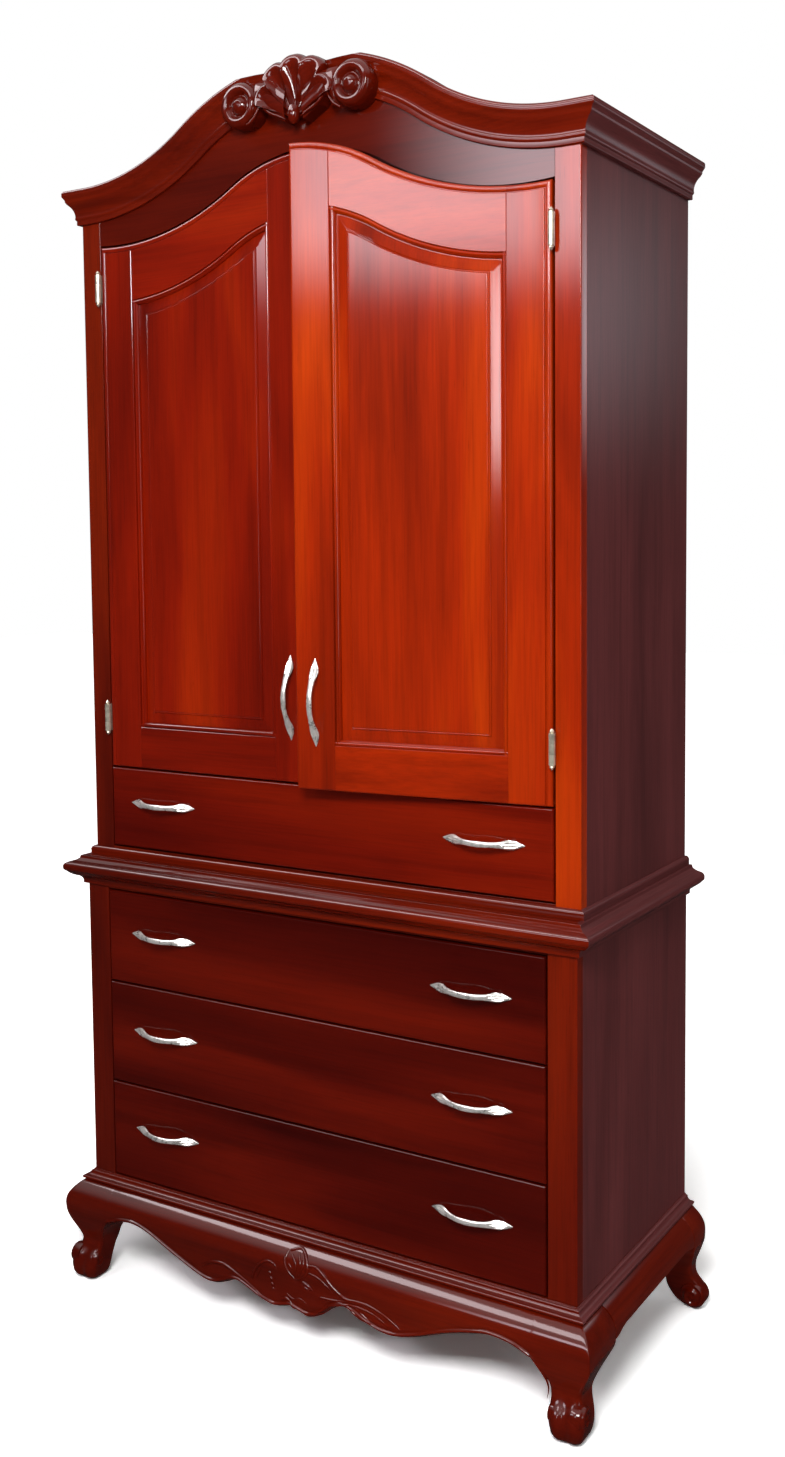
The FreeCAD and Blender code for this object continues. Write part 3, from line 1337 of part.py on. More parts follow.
# ---------------------------------------------------------------- the whole cabinet
def check_and_write(nodes):
    """Every object has computed and every node is a valid solid; then each goes to its own file."""
    doc.recompute()
    for item in doc.Objects:
        if "Invalid" in item.State or "Error" in item.State:
            raise RuntimeError("%s did not compute: %s" % (item.Name, item.State))
    for node in nodes:
        if node.Shape.isNull() or not node.Shape.isValid() or not node.Shape.Solids:
            raise RuntimeError("%s is not a valid solid" % node.Label)
    os.makedirs("parts", exist_ok=True)
    for node in nodes:
        node.Shape.exportStep("parts/%s.step" % node.Label)
    print("%d nodes written" % len(nodes))


def build():
    """All sub-parts of the chifforobe."""
    frieze = build_frieze()
    cornice = build_cornice()
    nodes = build_lower_case() + build_upper_case() + build_mouldings() + build_legs() + build_aprons()
    nodes += [frieze] + cornice + [build_crest(cornice[0].Shape, frieze.Shape)]
    nodes += build_doors() + build_drawers() + [build_runners()]
    return nodes


check_and_write(build())
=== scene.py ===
"""The chifforobe's looks: lacquered mahogany with mitred and carved mouldings, cast pulls and hinges.

Lengths in the tables below are millimetres; every mesh is built in metres in the frame of the solids.
"""
from math import atan, atan2, ceil, copysign, cos, degrees, dist, exp, pi, radians, sin, sqrt, tan

import bmesh
import bpy
from mathutils import Matrix, Vector


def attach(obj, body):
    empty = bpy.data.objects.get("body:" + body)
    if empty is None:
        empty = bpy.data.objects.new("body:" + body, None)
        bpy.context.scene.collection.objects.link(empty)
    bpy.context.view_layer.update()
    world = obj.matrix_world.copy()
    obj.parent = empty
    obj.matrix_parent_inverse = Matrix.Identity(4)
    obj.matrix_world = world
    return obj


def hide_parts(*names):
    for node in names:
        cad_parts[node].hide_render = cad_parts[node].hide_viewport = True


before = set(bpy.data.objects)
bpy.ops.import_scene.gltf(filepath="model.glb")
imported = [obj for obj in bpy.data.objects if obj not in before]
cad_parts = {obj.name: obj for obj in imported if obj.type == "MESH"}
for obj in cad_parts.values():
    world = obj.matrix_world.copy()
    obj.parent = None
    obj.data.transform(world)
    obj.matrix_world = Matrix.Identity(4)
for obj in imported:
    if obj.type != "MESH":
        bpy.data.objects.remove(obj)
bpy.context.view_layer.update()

MM = 0.001
# the bulge of a corner that ends a quarter circle: the tangent of a quarter of its angle
QUARTER = tan(pi / 8)
# degrees of an arc between two of its points
ARC_STEP = 9

# ---------------- sizes shared with the solids
UPPER_HALF = 500
LOWER_HALF = 503
UPPER_FRONT = -191.819
LOWER_FRONT = -213.819
BACK_PLANE = 267.181
FRAME_THICKNESS = 22
LEG_TOP = 186
BASE_HEIGHT = 205
WAIST_LEVEL = 764
SPLIT_LEVEL = 817
LEVEL_TOP = 2056
CORNICE_HEIGHT = 62
CORNICE_LOW = LEVEL_TOP - CORNICE_HEIGHT
CORNICE_RISE = 151.5
CORNICE_REACH = 480
CORNICE_CAP = 374
CORNICE_FRONT = 22
CORNICE_RETURN = 30
CORNICE_PLANED = LEVEL_TOP + 133


# ---------------- mesh building
def stretched(shares, width, height):
    """A moulding's outline from shares of its projection and height; a third number bulges into an arc."""
    corners = [(share[0] * width, share[1] * height) + share[2:] for share in shares]
    line = []
    for index, corner in enumerate(corners):
        if len(corner) == 3:
            before = corners[index - 1]
            sweep = 4 * atan(corner[2])
            run = corner[0] - before[0]
            rise = corner[1] - before[1]
            pieces = max(2, ceil(abs(degrees(sweep)) / ARC_STEP))
            for piece in range(1, pieces):
                angle = sweep * (piece / pieces - 0.5)
                along = 0.5 + sin(angle) / (2 * sin(sweep / 2))
                bow = (cos(angle) - cos(sweep / 2)) / (2 * sin(sweep / 2))
                line.append((before[0] + along * run + bow * rise, before[1] + along * rise - bow * run))
        line.append(corner[:2])
    return line


class Build:
    """Points and faces of one piece as they are put together."""

    def __init__(self):
        self.points, self.faces, self.marks = [], [], []

    def loft(self, rings, marks=None):
        """Skin between rings of equal length, capped at both ends; marks are the stretches' materials."""
        first = len(self.points)
        count = len(rings[0])
        last = first + (len(rings) - 1) * count
        marks = marks or [0] * (len(rings) - 1)
        for ring in rings:
            self.points.extend(ring)
        for stretch, mark in enumerate(marks):
            low = first + stretch * count
            high = low + count
            for index in range(count):
                after = (index + 1) % count
                self.faces.append((low + index, low + after, high + after, high + index))
                self.marks.append(mark)
        self.faces += [tuple(range(first, first + count))[::-1], tuple(range(last, last + count))]
        self.marks += [marks[0], marks[-1]]

    def add(self, shape, place):
        """Another build's faces, with each of its points put through place."""
        first = len(self.points)
        self.points += [place(*point) for point in shape.points]
        self.faces += [tuple(first + corner for corner in face) for face in shape.faces]
        self.marks += shape.marks

    def piece(self, name, materials, replaces=(), body="root", slot="mahogany", smooth=32, soften=0,
              cut_above=None, turned=None):
        """The mesh object, riding on its body."""
        mesh = bpy.data.meshes.new(name)
        mesh.from_pydata([Vector(point) * MM for point in self.points], [], self.faces)
        mesh.polygons.foreach_set("material_index", self.marks)
        work = bmesh.new()
        work.from_mesh(mesh)
        bmesh.ops.remove_doubles(work, verts=work.verts, dist=1e-6)
        if cut_above is not None:
            everything = work.verts[:] + work.edges[:] + work.faces[:]
            cut = bmesh.ops.bisect_plane(work, geom=everything, plane_co=(0, 0, cut_above * MM),
                                         plane_no=(0, 0, 1), clear_outer=True)
            rim = [item for item in cut["geom_cut"] if isinstance(item, bmesh.types.BMEdge)]
            bmesh.ops.holes_fill(work, edges=rim)
        if turned is not None:
            bmesh.ops.transform(work, matrix=turned, verts=work.verts)
        bmesh.ops.recalc_face_normals(work, faces=work.faces)
        work.to_mesh(mesh)
        work.free()
        mesh.polygons.foreach_set("use_smooth", [True] * len(mesh.polygons))
        mesh.set_sharp_from_angle(angle=radians(smooth))
        for material in materials:
            mesh.materials.append(material)
        item = bpy.data.objects.new(name, mesh)
        bpy.context.scene.collection.objects.link(item)
        if soften:
            add_soft_edges(item, soften)
        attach(item, body)
        if replaces:
            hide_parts(*replaces)
        return item


def add_soft_edges(item, width):
    """Edges rubbed round by sanding, in millimetres."""
    bevel = item.modifiers.new("soft_edges", "BEVEL")
    bevel.width = width * MM
    bevel.segments = 2
    bevel.limit_method = "ANGLE"
    bevel.angle_limit = radians(38)
    bevel.use_clamp_overlap = True
    bevel.harden_normals = True


# ---------------- materials
def fill(node, inputs):
    """Each input, by its name or place, set to a value or linked to a socket."""
    for place, value in inputs.items():
        if isinstance(value, bpy.types.NodeSocket):
            node.id_data.links.new(value, node.inputs[place])
        else:
            node.inputs[place].default_value = value


def add_node(tree, kind, inputs=None, **settings):
    """A new node with its settings and inputs."""
    node = tree.nodes.new(kind)
    for name, value in settings.items():
        setattr(node, name, value)
    fill(node, inputs or {})
    return node


def noise(tree, vector, scale, detail, rough, distortion=0.0):
    """A noise texture's value."""
    return add_node(tree, "ShaderNodeTexNoise", {
        "Vector": vector, "Scale": scale, "Detail": detail, "Roughness": rough, "Distortion": distortion,
    }).outputs["Fac"]


def ramp(tree, value, stops):
    """A colour ramp through (place, colour) stops."""
    node = add_node(tree, "ShaderNodeValToRGB", {"Fac": value})
    elements = node.color_ramp.elements
    while len(elements) < len(stops):
        elements.new(0.5)
    for element, (place, colour) in zip(elements, stops):
        element.position = place
        element.color = (*colour, 1)
    return node.outputs["Color"]


def greys(*stops):
    """Stops of a ramp from (place, level) pairs."""
    return [(place, (level, level, level)) for place, level in stops]


def mixed(tree, kind, amount, first, second):
    """Two colours mixed; each of the three may be a socket."""
    return add_node(tree, "ShaderNodeMix", {"Factor": amount, 6: first, 7: second},
                    data_type="RGBA", blend_type=kind).outputs[2]


def spread(tree, value, low, high, start=0.0, end=1.0, kind="LINEAR"):
    """A number that runs from low to high while a value goes from start to end."""
    return add_node(tree, "ShaderNodeMapRange", {
        "Value": value, "From Min": start, "From Max": end, "To Min": low, "To Max": high,
    }, interpolation_type=kind).outputs["Result"]


def reckoned(tree, operation, *values):
    """The result of a sum on numbers and sockets."""
    return add_node(tree, "ShaderNodeMath", dict(enumerate(values)), operation=operation).outputs[0]


def bump(tree, height, strength, distance):
    """A normal that follows a height."""
    return add_node(tree, "ShaderNodeBump", {
        "Height": height, "Strength": strength, "Distance": distance,
    }).outputs["Normal"]


def new_material(name):
    """A material with its node tree and its shader."""
    material = bpy.data.materials.new(name)
    material.use_nodes = True
    tree = material.node_tree
    return material, tree, tree.nodes["Principled BSDF"]


def placed(tree, scale=(1, 1, 1), apart=1.0):
    """Coordinates in the piece's own space, stretched; each piece is cut from another part of the plank."""
    where = add_node(tree, "ShaderNodeTexCoord")
    chance = add_node(tree, "ShaderNodeObjectInfo")
    moved = add_node(tree, "ShaderNodeVectorMath", {
        0: chance.outputs["Random"], 1: (3.7 * apart, 5.3 * apart, 4.1 * apart), 2: where.outputs["Object"],
    }, operation="MULTIPLY_ADD")
    return add_node(tree, "ShaderNodeMapping", {
        "Vector": moved.outputs[0], "Scale": scale,
    }).outputs["Vector"]


# how much shorter the wood's figure is drawn along the grain: its fibres, and its broad clouds
FIBRES = {"x": (0.028, 1, 1), "y": (1, 0.028, 1), "z": (1, 1, 0.028)}
CLOUDS = {"x": (0.16, 1, 1), "y": (1, 0.16, 1), "z": (1, 1, 0.16)}


def wood(name, grain, dark, middle, light, coat=0.5, rough=0.42, coat_rough=0.08, apart=1.0):
    """Stained and lacquered wood whose grain runs along one axis."""
    material, tree, shader = new_material(name)
    along = placed(tree, FIBRES[grain], apart)
    broad = placed(tree, CLOUDS[grain], apart)
    clouds = noise(tree, broad, 6.5, 3, 0.5, 0.5)
    streaks = noise(tree, along, 46, 4, 0.58, 0.25)
    fibres = noise(tree, along, 300, 3, 0.6)
    pores = ramp(tree, noise(tree, along, 700, 2, 0.5), greys((0.68, 0), (0.76, 1)))
    flow = noise(tree, broad, 26, 2, 0.5)
    deep = (*(0.34 * part for part in dark), 1)
    colour = ramp(tree, clouds, [(0.3, dark), (0.52, middle), (0.72, light)])
    colour = mixed(tree, "MULTIPLY", 0.5, colour,
                   ramp(tree, streaks, greys((0.26, 0.45), (0.5, 0.95), (0.74, 1))))
    colour = mixed(tree, "MULTIPLY", 0.4, colour, ramp(tree, fibres, greys((0.35, 0.6), (0.6, 1))))
    colour = mixed(tree, "MIX", spread(tree, pores, 0, 0.4), colour, deep)
    fill(shader, {
        "Base Color": colour,
        "Roughness": spread(tree, streaks, rough - 0.06, rough + 0.08),
        "Specular IOR Level": 0.015,
        "Coat Weight": coat,
        "Coat Roughness": coat_rough,
        "Coat IOR": 1.5,
        "Normal": bump(tree, fibres, 0.08, 0.0004),
        "Coat Normal": bump(tree, flow, 0.06, 0.002),
    })
    return material


def metal(name, colour, rough, tarnish=0.5):
    """Cast and plated metal, duller in random patches."""
    material, tree, shader = new_material(name)
    where = placed(tree)
    cloud = noise(tree, where, 60, 4, 0.6)
    dull = tuple(part * tarnish for part in colour)
    fill(shader, {
        "Base Color": ramp(tree, cloud, [(0.3, dull), (0.55, colour)]),
        "Metallic": 0.7,
        "Roughness": spread(tree, cloud, rough - 0.07, rough + 0.09),
        "Normal": bump(tree, noise(tree, where, 300, 3, 0.6), 0.12, 0.0006),
    })
    return material


def plastic(name, colour):
    """Moulded plastic with a fine spark texture."""
    material, tree, shader = new_material(name)
    speck = noise(tree, placed(tree), 900, 2, 0.5)
    fill(shader, {
        "Base Color": ramp(tree, speck, [(0.2, tuple(0.7 * part for part in colour)), (0.8, colour)]),
        "Roughness": spread(tree, speck, 0.5, 0.65),
        "Normal": bump(tree, speck, 0.2, 0.0003),
    })
    return material


def family(name, grains, *colours, **finish):
    """One stain, for grain along each of some axes."""
    return {grain: wood("%s_%s" % (name, grain), grain, *colours, **finish) for grain in grains}


# each stain's dark, middle and light colour
CASE = family("case_wood", "xyz", (0.062, 0.0026, 0.0004), (0.105, 0.0050, 0.0005),
              (0.16, 0.0090, 0.0006), coat=0.7)
BASE = family("base_wood", "xy", (0.058, 0.0026, 0.0005), (0.100, 0.0046, 0.0006),
              (0.15, 0.0085, 0.0008), coat=0.7, apart=0.0)
DOOR = family("door_wood", "xz", (0.17, 0.0075, 0.0002), (0.31, 0.0165, 0.0003),
              (0.44, 0.037, 0.0004), coat=0.75, coat_rough=0.1)
# painted shade: a darker copy of the door stain for the left door, which stands in less light than the
# right one
SHADED_LEFT_DOOR = family("shaded_left_door_wood", "xz", (0.11, 0.0030, 0.0002), (0.205, 0.0068, 0.0003),
                   (0.29, 0.0155, 0.0004), coat=0.75, coat_rough=0.1)
# painted light: a lighter copy of the drawer stain for the upper drawer, where more light falls from above
LIT_UPPER_DRAWER = family("lit_upper_drawer_wood", "x", (0.075, 0.0020, 0.0004), (0.13, 0.0042, 0.0005),
                      (0.20, 0.0085, 0.0006))
# darker than the doors, partly as the wood's own tone and partly as painted shade on the lower front, where
# the light from above falls off
DRAWER_TONE_AND_SHADE = family("drawer_wood", "x", (0.040, 0.0012, 0.0004), (0.070, 0.0024, 0.0005),
                (0.120, 0.0050, 0.0007))
# painted shade: the sides and the side returns of the mouldings take a greyer, plum copy of the mahogany
# stain, which stands for the cool, weaker light that falls on them
SHADED_SIDE = family("shaded_side_wood", "yz", (0.092, 0.020, 0.020), (0.120, 0.026, 0.026), (0.150, 0.033, 0.033),
              coat_rough=0.25)
INNER = family("inner_wood", "xyz", (0.16, 0.055, 0.022), (0.25, 0.095, 0.040), (0.34, 0.14, 0.062),
               coat=0.1, rough=0.5)
BOX = family("box_wood", "y", (0.36, 0.19, 0.085), (0.50, 0.29, 0.14), (0.60, 0.38, 0.20),
             coat=0.1, rough=0.5)
BOARD = family("board_wood", "xz", (0.24, 0.115, 0.052), (0.34, 0.17, 0.08), (0.43, 0.23, 0.12),
               coat=0.0, rough=0.6)
PULL = metal("pull_metal", (0.92, 0.89, 0.84), 0.28)
HINGE = metal("hinge_metal", (0.78, 0.70, 0.55), 0.2)
CHROME = metal("rail_metal", (0.82, 0.82, 0.83), 0.1, 0.9)
CATCH = plastic("catch_plastic", (0.05, 0.033, 0.025))

DOORS = ("left_door", "right_door")
DRAWERS = ("upper_drawer", "top_drawer", "middle_drawer", "bottom_drawer")


def of_each(bodies, *parts):
    """The names of the same parts on each of some bodies."""
    return ["%s_%s" % (body, part) for body in bodies for part in parts]


# a material, its slot, and the nodes that have it
LOOKS = (
    # the case sides wear the painted-shade side stain
    (SHADED_SIDE["z"], "mahogany_sides", of_each(("lower", "upper"), "left_side", "right_side")),
    (CASE["z"], "mahogany", ("lower_left_stile", "lower_right_stile", "upper_left_stile", "front_legs",
                             "rear_legs")),
    (CASE["x"], "mahogany", ("lower_rails", "upper_rails", "lower_boards", "waist_moulding", "upper_bead",
                             "base_moulding", "front_apron", "frieze_rail", "cornice_front",
                             "crest_carving")),
    (CASE["y"], "mahogany", ("cornice_returns",)),
    (BASE["y"], "mahogany", ("side_aprons",)),
    # painted light: the upper case's right stile takes the lighter door stain instead of the case stain,
    # for the light that falls on the right side; the left stile keeps the case stain
    (DOOR["z"], "mahogany", ("upper_right_stile",)),
    (DOOR["z"], "mahogany_doors", of_each(DOORS, "stiles", "panel")),
    (DOOR["x"], "mahogany_doors", of_each(DOORS, "top_rail", "bottom_rail")),
    # the upper drawer's front takes the lighter, painted-light copy of the drawer stain
    (LIT_UPPER_DRAWER["x"], "mahogany_drawers", of_each(DRAWERS[:1], "front")),
    # the lower drawers' fronts: their own darker tone with painted shade
    (DRAWER_TONE_AND_SHADE["x"], "mahogany_drawers", of_each(DRAWERS[1:], "front")),
    (BOX["y"], "drawer_wood", of_each(DRAWERS, "box")),
    (BOARD["x"], "panel_board", of_each(DRAWERS, "bottom")),
    (BOARD["z"], "panel_board", ("lower_back", "upper_back")),
    (INNER["x"], "inner_wood", ("upper_boards", "back_apron")),
    (INNER["y"], "inner_wood", ("drawer_runners",)),
    (INNER["z"], "inner_wood", ("corner_blocks",)),
    (CATCH, "catch_plastic", ("door_catches",)),
    (CHROME, "rail_metal", ("hanging_rail",)),
    (HINGE, "hinge_metal", ["hinge_frame_leaves", "hinge_pins"] + of_each(DOORS, "hinge_leaves")),
    (PULL, "pull_metal", of_each(DOORS, "pull") + of_each(DRAWERS, "pulls")),
)
NODE_LOOKS = {node: (material, slot) for material, slot, nodes in LOOKS for node in nodes}
# facets of the solids that meet at less than this many degrees are shaded as one surface
SHALLOW = 32


def smoothing_group():
    """A node group that joins the imported facets and rounds the shading between shallow ones."""
    tree = bpy.data.node_groups.new("joined_and_smooth", "GeometryNodeTree")
    for way in ("INPUT", "OUTPUT"):
        tree.interface.new_socket("Geometry", in_out=way, socket_type="NodeSocketGeometry")
    source = add_node(tree, "NodeGroupInput")
    join = add_node(tree, "GeometryNodeMergeByDistance", {0: source.outputs[0], "Distance": 1e-5})
    soft = add_node(tree, "GeometryNodeSetShadeSmooth", {
        "Geometry": join.outputs[0], "Shade Smooth": True,
    }, domain="FACE")
    angle = add_node(tree, "GeometryNodeInputMeshEdgeAngle")
    steep = add_node(tree, "FunctionNodeCompare", {
        "A": angle.outputs["Unsigned Angle"], "B": radians(SHALLOW),
    }, data_type="FLOAT", operation="GREATER_THAN")
    sharp = add_node(tree, "GeometryNodeSetShadeSmooth", {
        "Geometry": soft.outputs[0], "Selection": steep.outputs["Result"], "Shade Smooth": False,
    }, domain="EDGE")
    add_node(tree, "NodeGroupOutput", {0: sharp.outputs[0]})
    return tree


SMOOTHING = smoothing_group()
SQUARE_NODES = ("side", "stile", "rails", "boards", "back", "runners", "box", "bottom", "blocks", "catches")


def dress_nodes():
    """Materials on every solid, soft arrises on the square-edged ones."""
    for name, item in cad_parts.items():
        look, slot = NODE_LOOKS[name]
        item.data.materials.clear()
        item.data.materials.append(look)
        smooth = item.modifiers.new("smooth", "NODES")
        smooth.node_group = SMOOTHING
        if name.endswith(SQUARE_NODES):
            flats = item.modifiers.new("flats", "DECIMATE")
            flats.decimate_type = "DISSOLVE"
            flats.angle_limit = radians(1)
            add_soft_edges(item, 0.7)


# ---------------- mouldings
WAIST_SHARES = (
    (0, 0), (0.2, 0), (0.2, 0.08), (0.46, 0.28, -0.35), (0.88, 0.47, 0.15), (1, 0.58, 0.3), (1, 0.66),
    (0.76, 0.79, 0.3), (0.34, 0.91, -0.15), (0.3, 1), (0, 1),
)
BEAD_SHARES = ((0, 0), (1, 0), (1, 0.4), (0.4, 1, QUARTER), (0, 1))
BASE_SHARES = (
    (0, 0), (0.7, 0), (0.7, 0.12), (0.94, 0.12), (1, 0.22, QUARTER), (0.9, 0.38, QUARTER), (0.78, 0.40),
    (0.32, 0.66, -0.35), (0.32, 0.72), (0.22, 0.86, 0.4), (0.12, 0.90), (0.1, 1), (0, 1),
)
CORNICE_SHARES = (
    (0, 0), (0.22, 0), (0.26, 0.03, QUARTER), (0.26, 0.13), (0.31, 0.15), (0.33, 0.24, 0.3),
    (0.62, 0.565, -0.2), (0.84, 0.69, 0.12), (0.84, 0.73), (0.94, 0.80), (1, 0.89, 0.3),
    (0.9, 1, 0.35), (0, 1),
)

# a moulding, its section, how far it stands out, its height, the half width and the front that it
# goes round, and its level
MOULDINGS = (
    ("waist", "waist_moulding", WAIST_SHARES, 34, 53, LOWER_HALF, LOWER_FRONT, WAIST_LEVEL),
    ("bead", "upper_bead", BEAD_SHARES, 8, 15, UPPER_HALF, UPPER_FRONT, SPLIT_LEVEL),
    ("base", "base_moulding", BASE_SHARES, 18, 19, LOWER_HALF, LOWER_FRONT, LEG_TOP),
)


def side_run(side, section, half, front, level):
    """A side run's rings, from left to right; a section has its place across, before the front and up."""
    corner = [(side * (half + across), front - out, level + up) for across, out, up in section]
    end = [(x, BACK_PLANE, z) for x, y, z in corner]
    return [end, corner] if side < 0 else [corner, end]


def surround(name, node, shares, projection, height, half, front, level):
    """A moulding round the front and both sides, mitred at the corners."""
    section = [(out, out, up) for out, up in stretched(shares, projection, height)]
    build = Build()
    build.loft(side_run(-1, section, half, front, level) + side_run(1, section, half, front, level),
               marks=(0, 1, 0))
    # the side returns take the painted-shade side stain, the front the case stain
    build.piece(name, (SHADED_SIDE["y"], CASE["x"]), (node,), soften=0.5)


def arched(x, top, low, reach, cap_radius, lift=0):
    """Height and outward normal of a round cap that runs into a hollow at each side, at x."""
    height = top - low
    hollow_radius = (reach ** 2 + height ** 2) / (2 * height) - cap_radius
    cap = (0, top - cap_radius)
    hollow = (reach, low + hollow_radius)
    slope = atan2(hollow[1] - cap[1], reach)
    turn = (cap_radius + lift) * cos(slope)
    off = abs(x)
    if off <= turn:
        radius = cap_radius + lift
        z = cap[1] + sqrt(radius ** 2 - off ** 2)
        normal = (off / radius, (z - cap[1]) / radius)
    elif off <= reach:
        radius = hollow_radius - lift
        z = hollow[1] - sqrt(radius ** 2 - (off - hollow[0]) ** 2)
        normal = ((hollow[0] - off) / radius, (hollow[1] - z) / radius)
    else:
        z = low + lift
        normal = (0, 1)
    return z, (copysign(normal[0], x) if x else 0.0, normal[1])


def cornice_line(x):
    """Height and outward normal of the cornice's lower edge at x."""
    return arched(x, CORNICE_LOW + CORNICE_RISE, CORNICE_LOW, CORNICE_REACH, CORNICE_CAP)


def build_cornice():
    """The cornice: bent over the front, straight along the sides."""
    shares = [(out / CORNICE_RETURN, up)
              for out, up in stretched(CORNICE_SHARES, CORNICE_RETURN, CORNICE_HEIGHT)]
    section = [(share * CORNICE_RETURN, share * CORNICE_FRONT, up) for share, up in shares]
    rings = side_run(-1, section, UPPER_HALF, UPPER_FRONT, CORNICE_LOW)
    for step in range(-60, 61):
        x = CORNICE_REACH * step / 60
        z, normal = cornice_line(x)
        rings.append([(x + normal[0] * up, UPPER_FRONT - out, z + normal[1] * up)
                      for across, out, up in section])
    rings += side_run(1, section, UPPER_HALF, UPPER_FRONT, CORNICE_LOW)
    build = Build()
    build.loft(rings, marks=[0] + [1] * (len(rings) - 3) + [0])
    # the cornice's side returns take the painted-shade side stain, its front the case stain
    build.piece("cornice", (SHADED_SIDE["y"], CASE["x"]), ("cornice_front", "cornice_returns"), soften=0.5,
                cut_above=CORNICE_PLANED)


# ---------------- shared shapes
def between(table, place):
    """The numbers of a table at a place, on smooth lines through its rows, which start with their place."""
    last = len(table) - 1
    upper = next((row for row in range(1, last) if place <= table[row][0]), last)
    low, high = table[upper - 1], table[upper]
    before, after = table[max(upper - 2, 0)], table[min(upper + 1, last)]
    run = high[0] - low[0]
    share = (place - low[0]) / run
    numbers = []
    for column in range(1, len(low)):
        slope_low = (high[column] - before[column]) / (high[0] - before[0]) * run
        slope_high = (after[column] - low[column]) / (after[0] - low[0]) * run
        drop = low[column] - high[column]
        numbers.append(low[column] + share * (slope_low + share * (
            -3 * drop - 2 * slope_low - slope_high + share * (2 * drop + slope_low + slope_high))))
    return numbers


def on_line(table, place):
    """The number of a two-column table at any place, on straight lines; beyond its ends it stays."""
    if place <= table[0][0]:
        return table[0][1]
    for low, high in zip(table, table[1:]):
        if place <= high[0]:
            return low[1] + (high[1] - low[1]) * (place - low[0]) / (high[0] - low[0])
    return table[-1][1]


def slab(build, columns, rows, front, back):
    """A block over the X-Z plane: rows(x) are the heights of a column, front(x, z) is its face."""
    rings = []
    for x in columns:
        heights = rows(x)
        rings.append([(x, front(x, z), z) for z in heights]
                     + [(x, back, heights[-1]), (x, back, heights[0])])
    build.loft(rings)


def button(build, centre, facing, radius, depth, height, steps, sides):
    """A round boss; height gives its relief at a share of the radius and a turn, depth its thickness."""
    facing = Vector(facing)
    across = facing.cross((0, 0, 1)).normalized()
    up = across.cross(facing)

    def ring(share, rise):
        points = []
        for side in range(sides):
            turn = 2 * pi * side / sides
            out = (across * cos(turn) + up * sin(turn)) * radius * share
            points.append(tuple(Vector(centre) + out + facing * rise(share, turn)))
        return points

    shares = [1 - 0.985 * step / steps for step in range(steps + 1)]
    build.loft([ring(1, lambda share, turn: -depth)] + [ring(share, height) for share in shares])


def volute(reach, curl, turns, hand):
    """The relief of a scroll seen from its end: a dome with a groove that winds in towards an eye."""
    def height(share, turn):
        dome = reach * (1 - share ** 2.6) ** 0.5
        winding = cos(2 * pi * (turns * share - hand * turn / (2 * pi)))
        fade = min(1, share / 0.22) * min(1, (1 - share) / 0.08)
        return dome + curl * winding * fade
    return height


# the relief of a carved scroll, a thick roll round an eye: a share of its radius, then its height
ROLL = (
    (0, 19), (0.18, 18), (0.32, 14.5), (0.41, 9.5), (0.46, 9), (0.51, 12), (0.61, 16.5), (0.72, 17.5),
    (0.82, 16), (0.91, 12), (0.97, 6), (1, 0),
)


def rolled(hand):
    """A carved scroll for button, its eye a little off the middle."""
    def height(share, turn):
        drift = 0.11 * sin(turn + hand * 0.9) * min(1, share / 0.3) * (1 - share)
        return on_line(ROLL, share + drift)
    return height


def tube(build, points, radii, sides):
    """A round bar along points, with its own radius at each."""
    rings = []
    for index, point in enumerate(points):
        before = Vector(points[max(index - 1, 0)])
        after = Vector(points[min(index + 1, len(points) - 1)])
        along = (after - before).normalized()
        across = along.cross((0, 1, 0)).normalized()
        up = across.cross(along)
        rings.append([tuple(Vector(point) + (across * cos(turn) + up * sin(turn)) * radii[index])
                      for turn in (2 * pi * side / sides for side in range(sides))])
    build.loft(rings)


# ---------------- rails of the upper case
STOP_FOOT = LEVEL_TOP - 81
STOP_HEAD = LEVEL_TOP + 24
STOP_HALF = 482
STOP_THICKNESS = 18
OPENING_HALF = 457
RAIL_HEIGHT = 18
# how far the stop's ends stay below the cornice's top edge
STOP_CLEARANCE = 5


def build_upper_rails():
    """The rail over the split, and the door stop with its ends cut down behind the cornice's low ends."""
    def stop_rows(x):
        return [STOP_FOOT, min(STOP_HEAD, cornice_line(x)[0] + CORNICE_HEIGHT - STOP_CLEARANCE)]

    build = Build()
    frame_back = UPPER_FRONT + FRAME_THICKNESS
    slab(build, [-OPENING_HALF, OPENING_HALF], lambda x: [SPLIT_LEVEL, SPLIT_LEVEL + RAIL_HEIGHT],
         lambda x, z: UPPER_FRONT, frame_back)
    slab(build, [STOP_HALF * step / 24 for step in range(-24, 25)], stop_rows,
         lambda x, z: frame_back, frame_back + STOP_THICKNESS)
    build.piece("upper_rails_shaped", (CASE["x"],), ("upper_rails",), soften=0.5)


# ---------------- doors
DOOR_FOOT = 989
ARCH_TOP = 2059
ARCH_LOW = 1946.5
ARCH_REACH = 410
ARCH_CAP = 300
MEETING_EDGE = 1.5
HINGE_EDGE = 454
DOOR_FACE = UPPER_FRONT - 4
DOOR_BACK = DOOR_FACE + 22
PANEL_BACK = DOOR_FACE + 15
STILE_FLAT = 73
TOP_FLAT = 100
BOTTOM_FLAT = 76
STICKING = 10
PANEL_TONGUE = 6.5
# the hairline joint between rail and stile is eased over this width
JOINT = 0.9
# the right door stands open by this many degrees about its hinge pin, whose place is in metres
AJAR_ANGLE = 6
PIN = Vector((0.4555, -0.201619, 0))
AJAR = Matrix.Translation(PIN) @ Matrix.Rotation(radians(AJAR_ANGLE), 4, "Z") @ Matrix.Translation(-PIN)
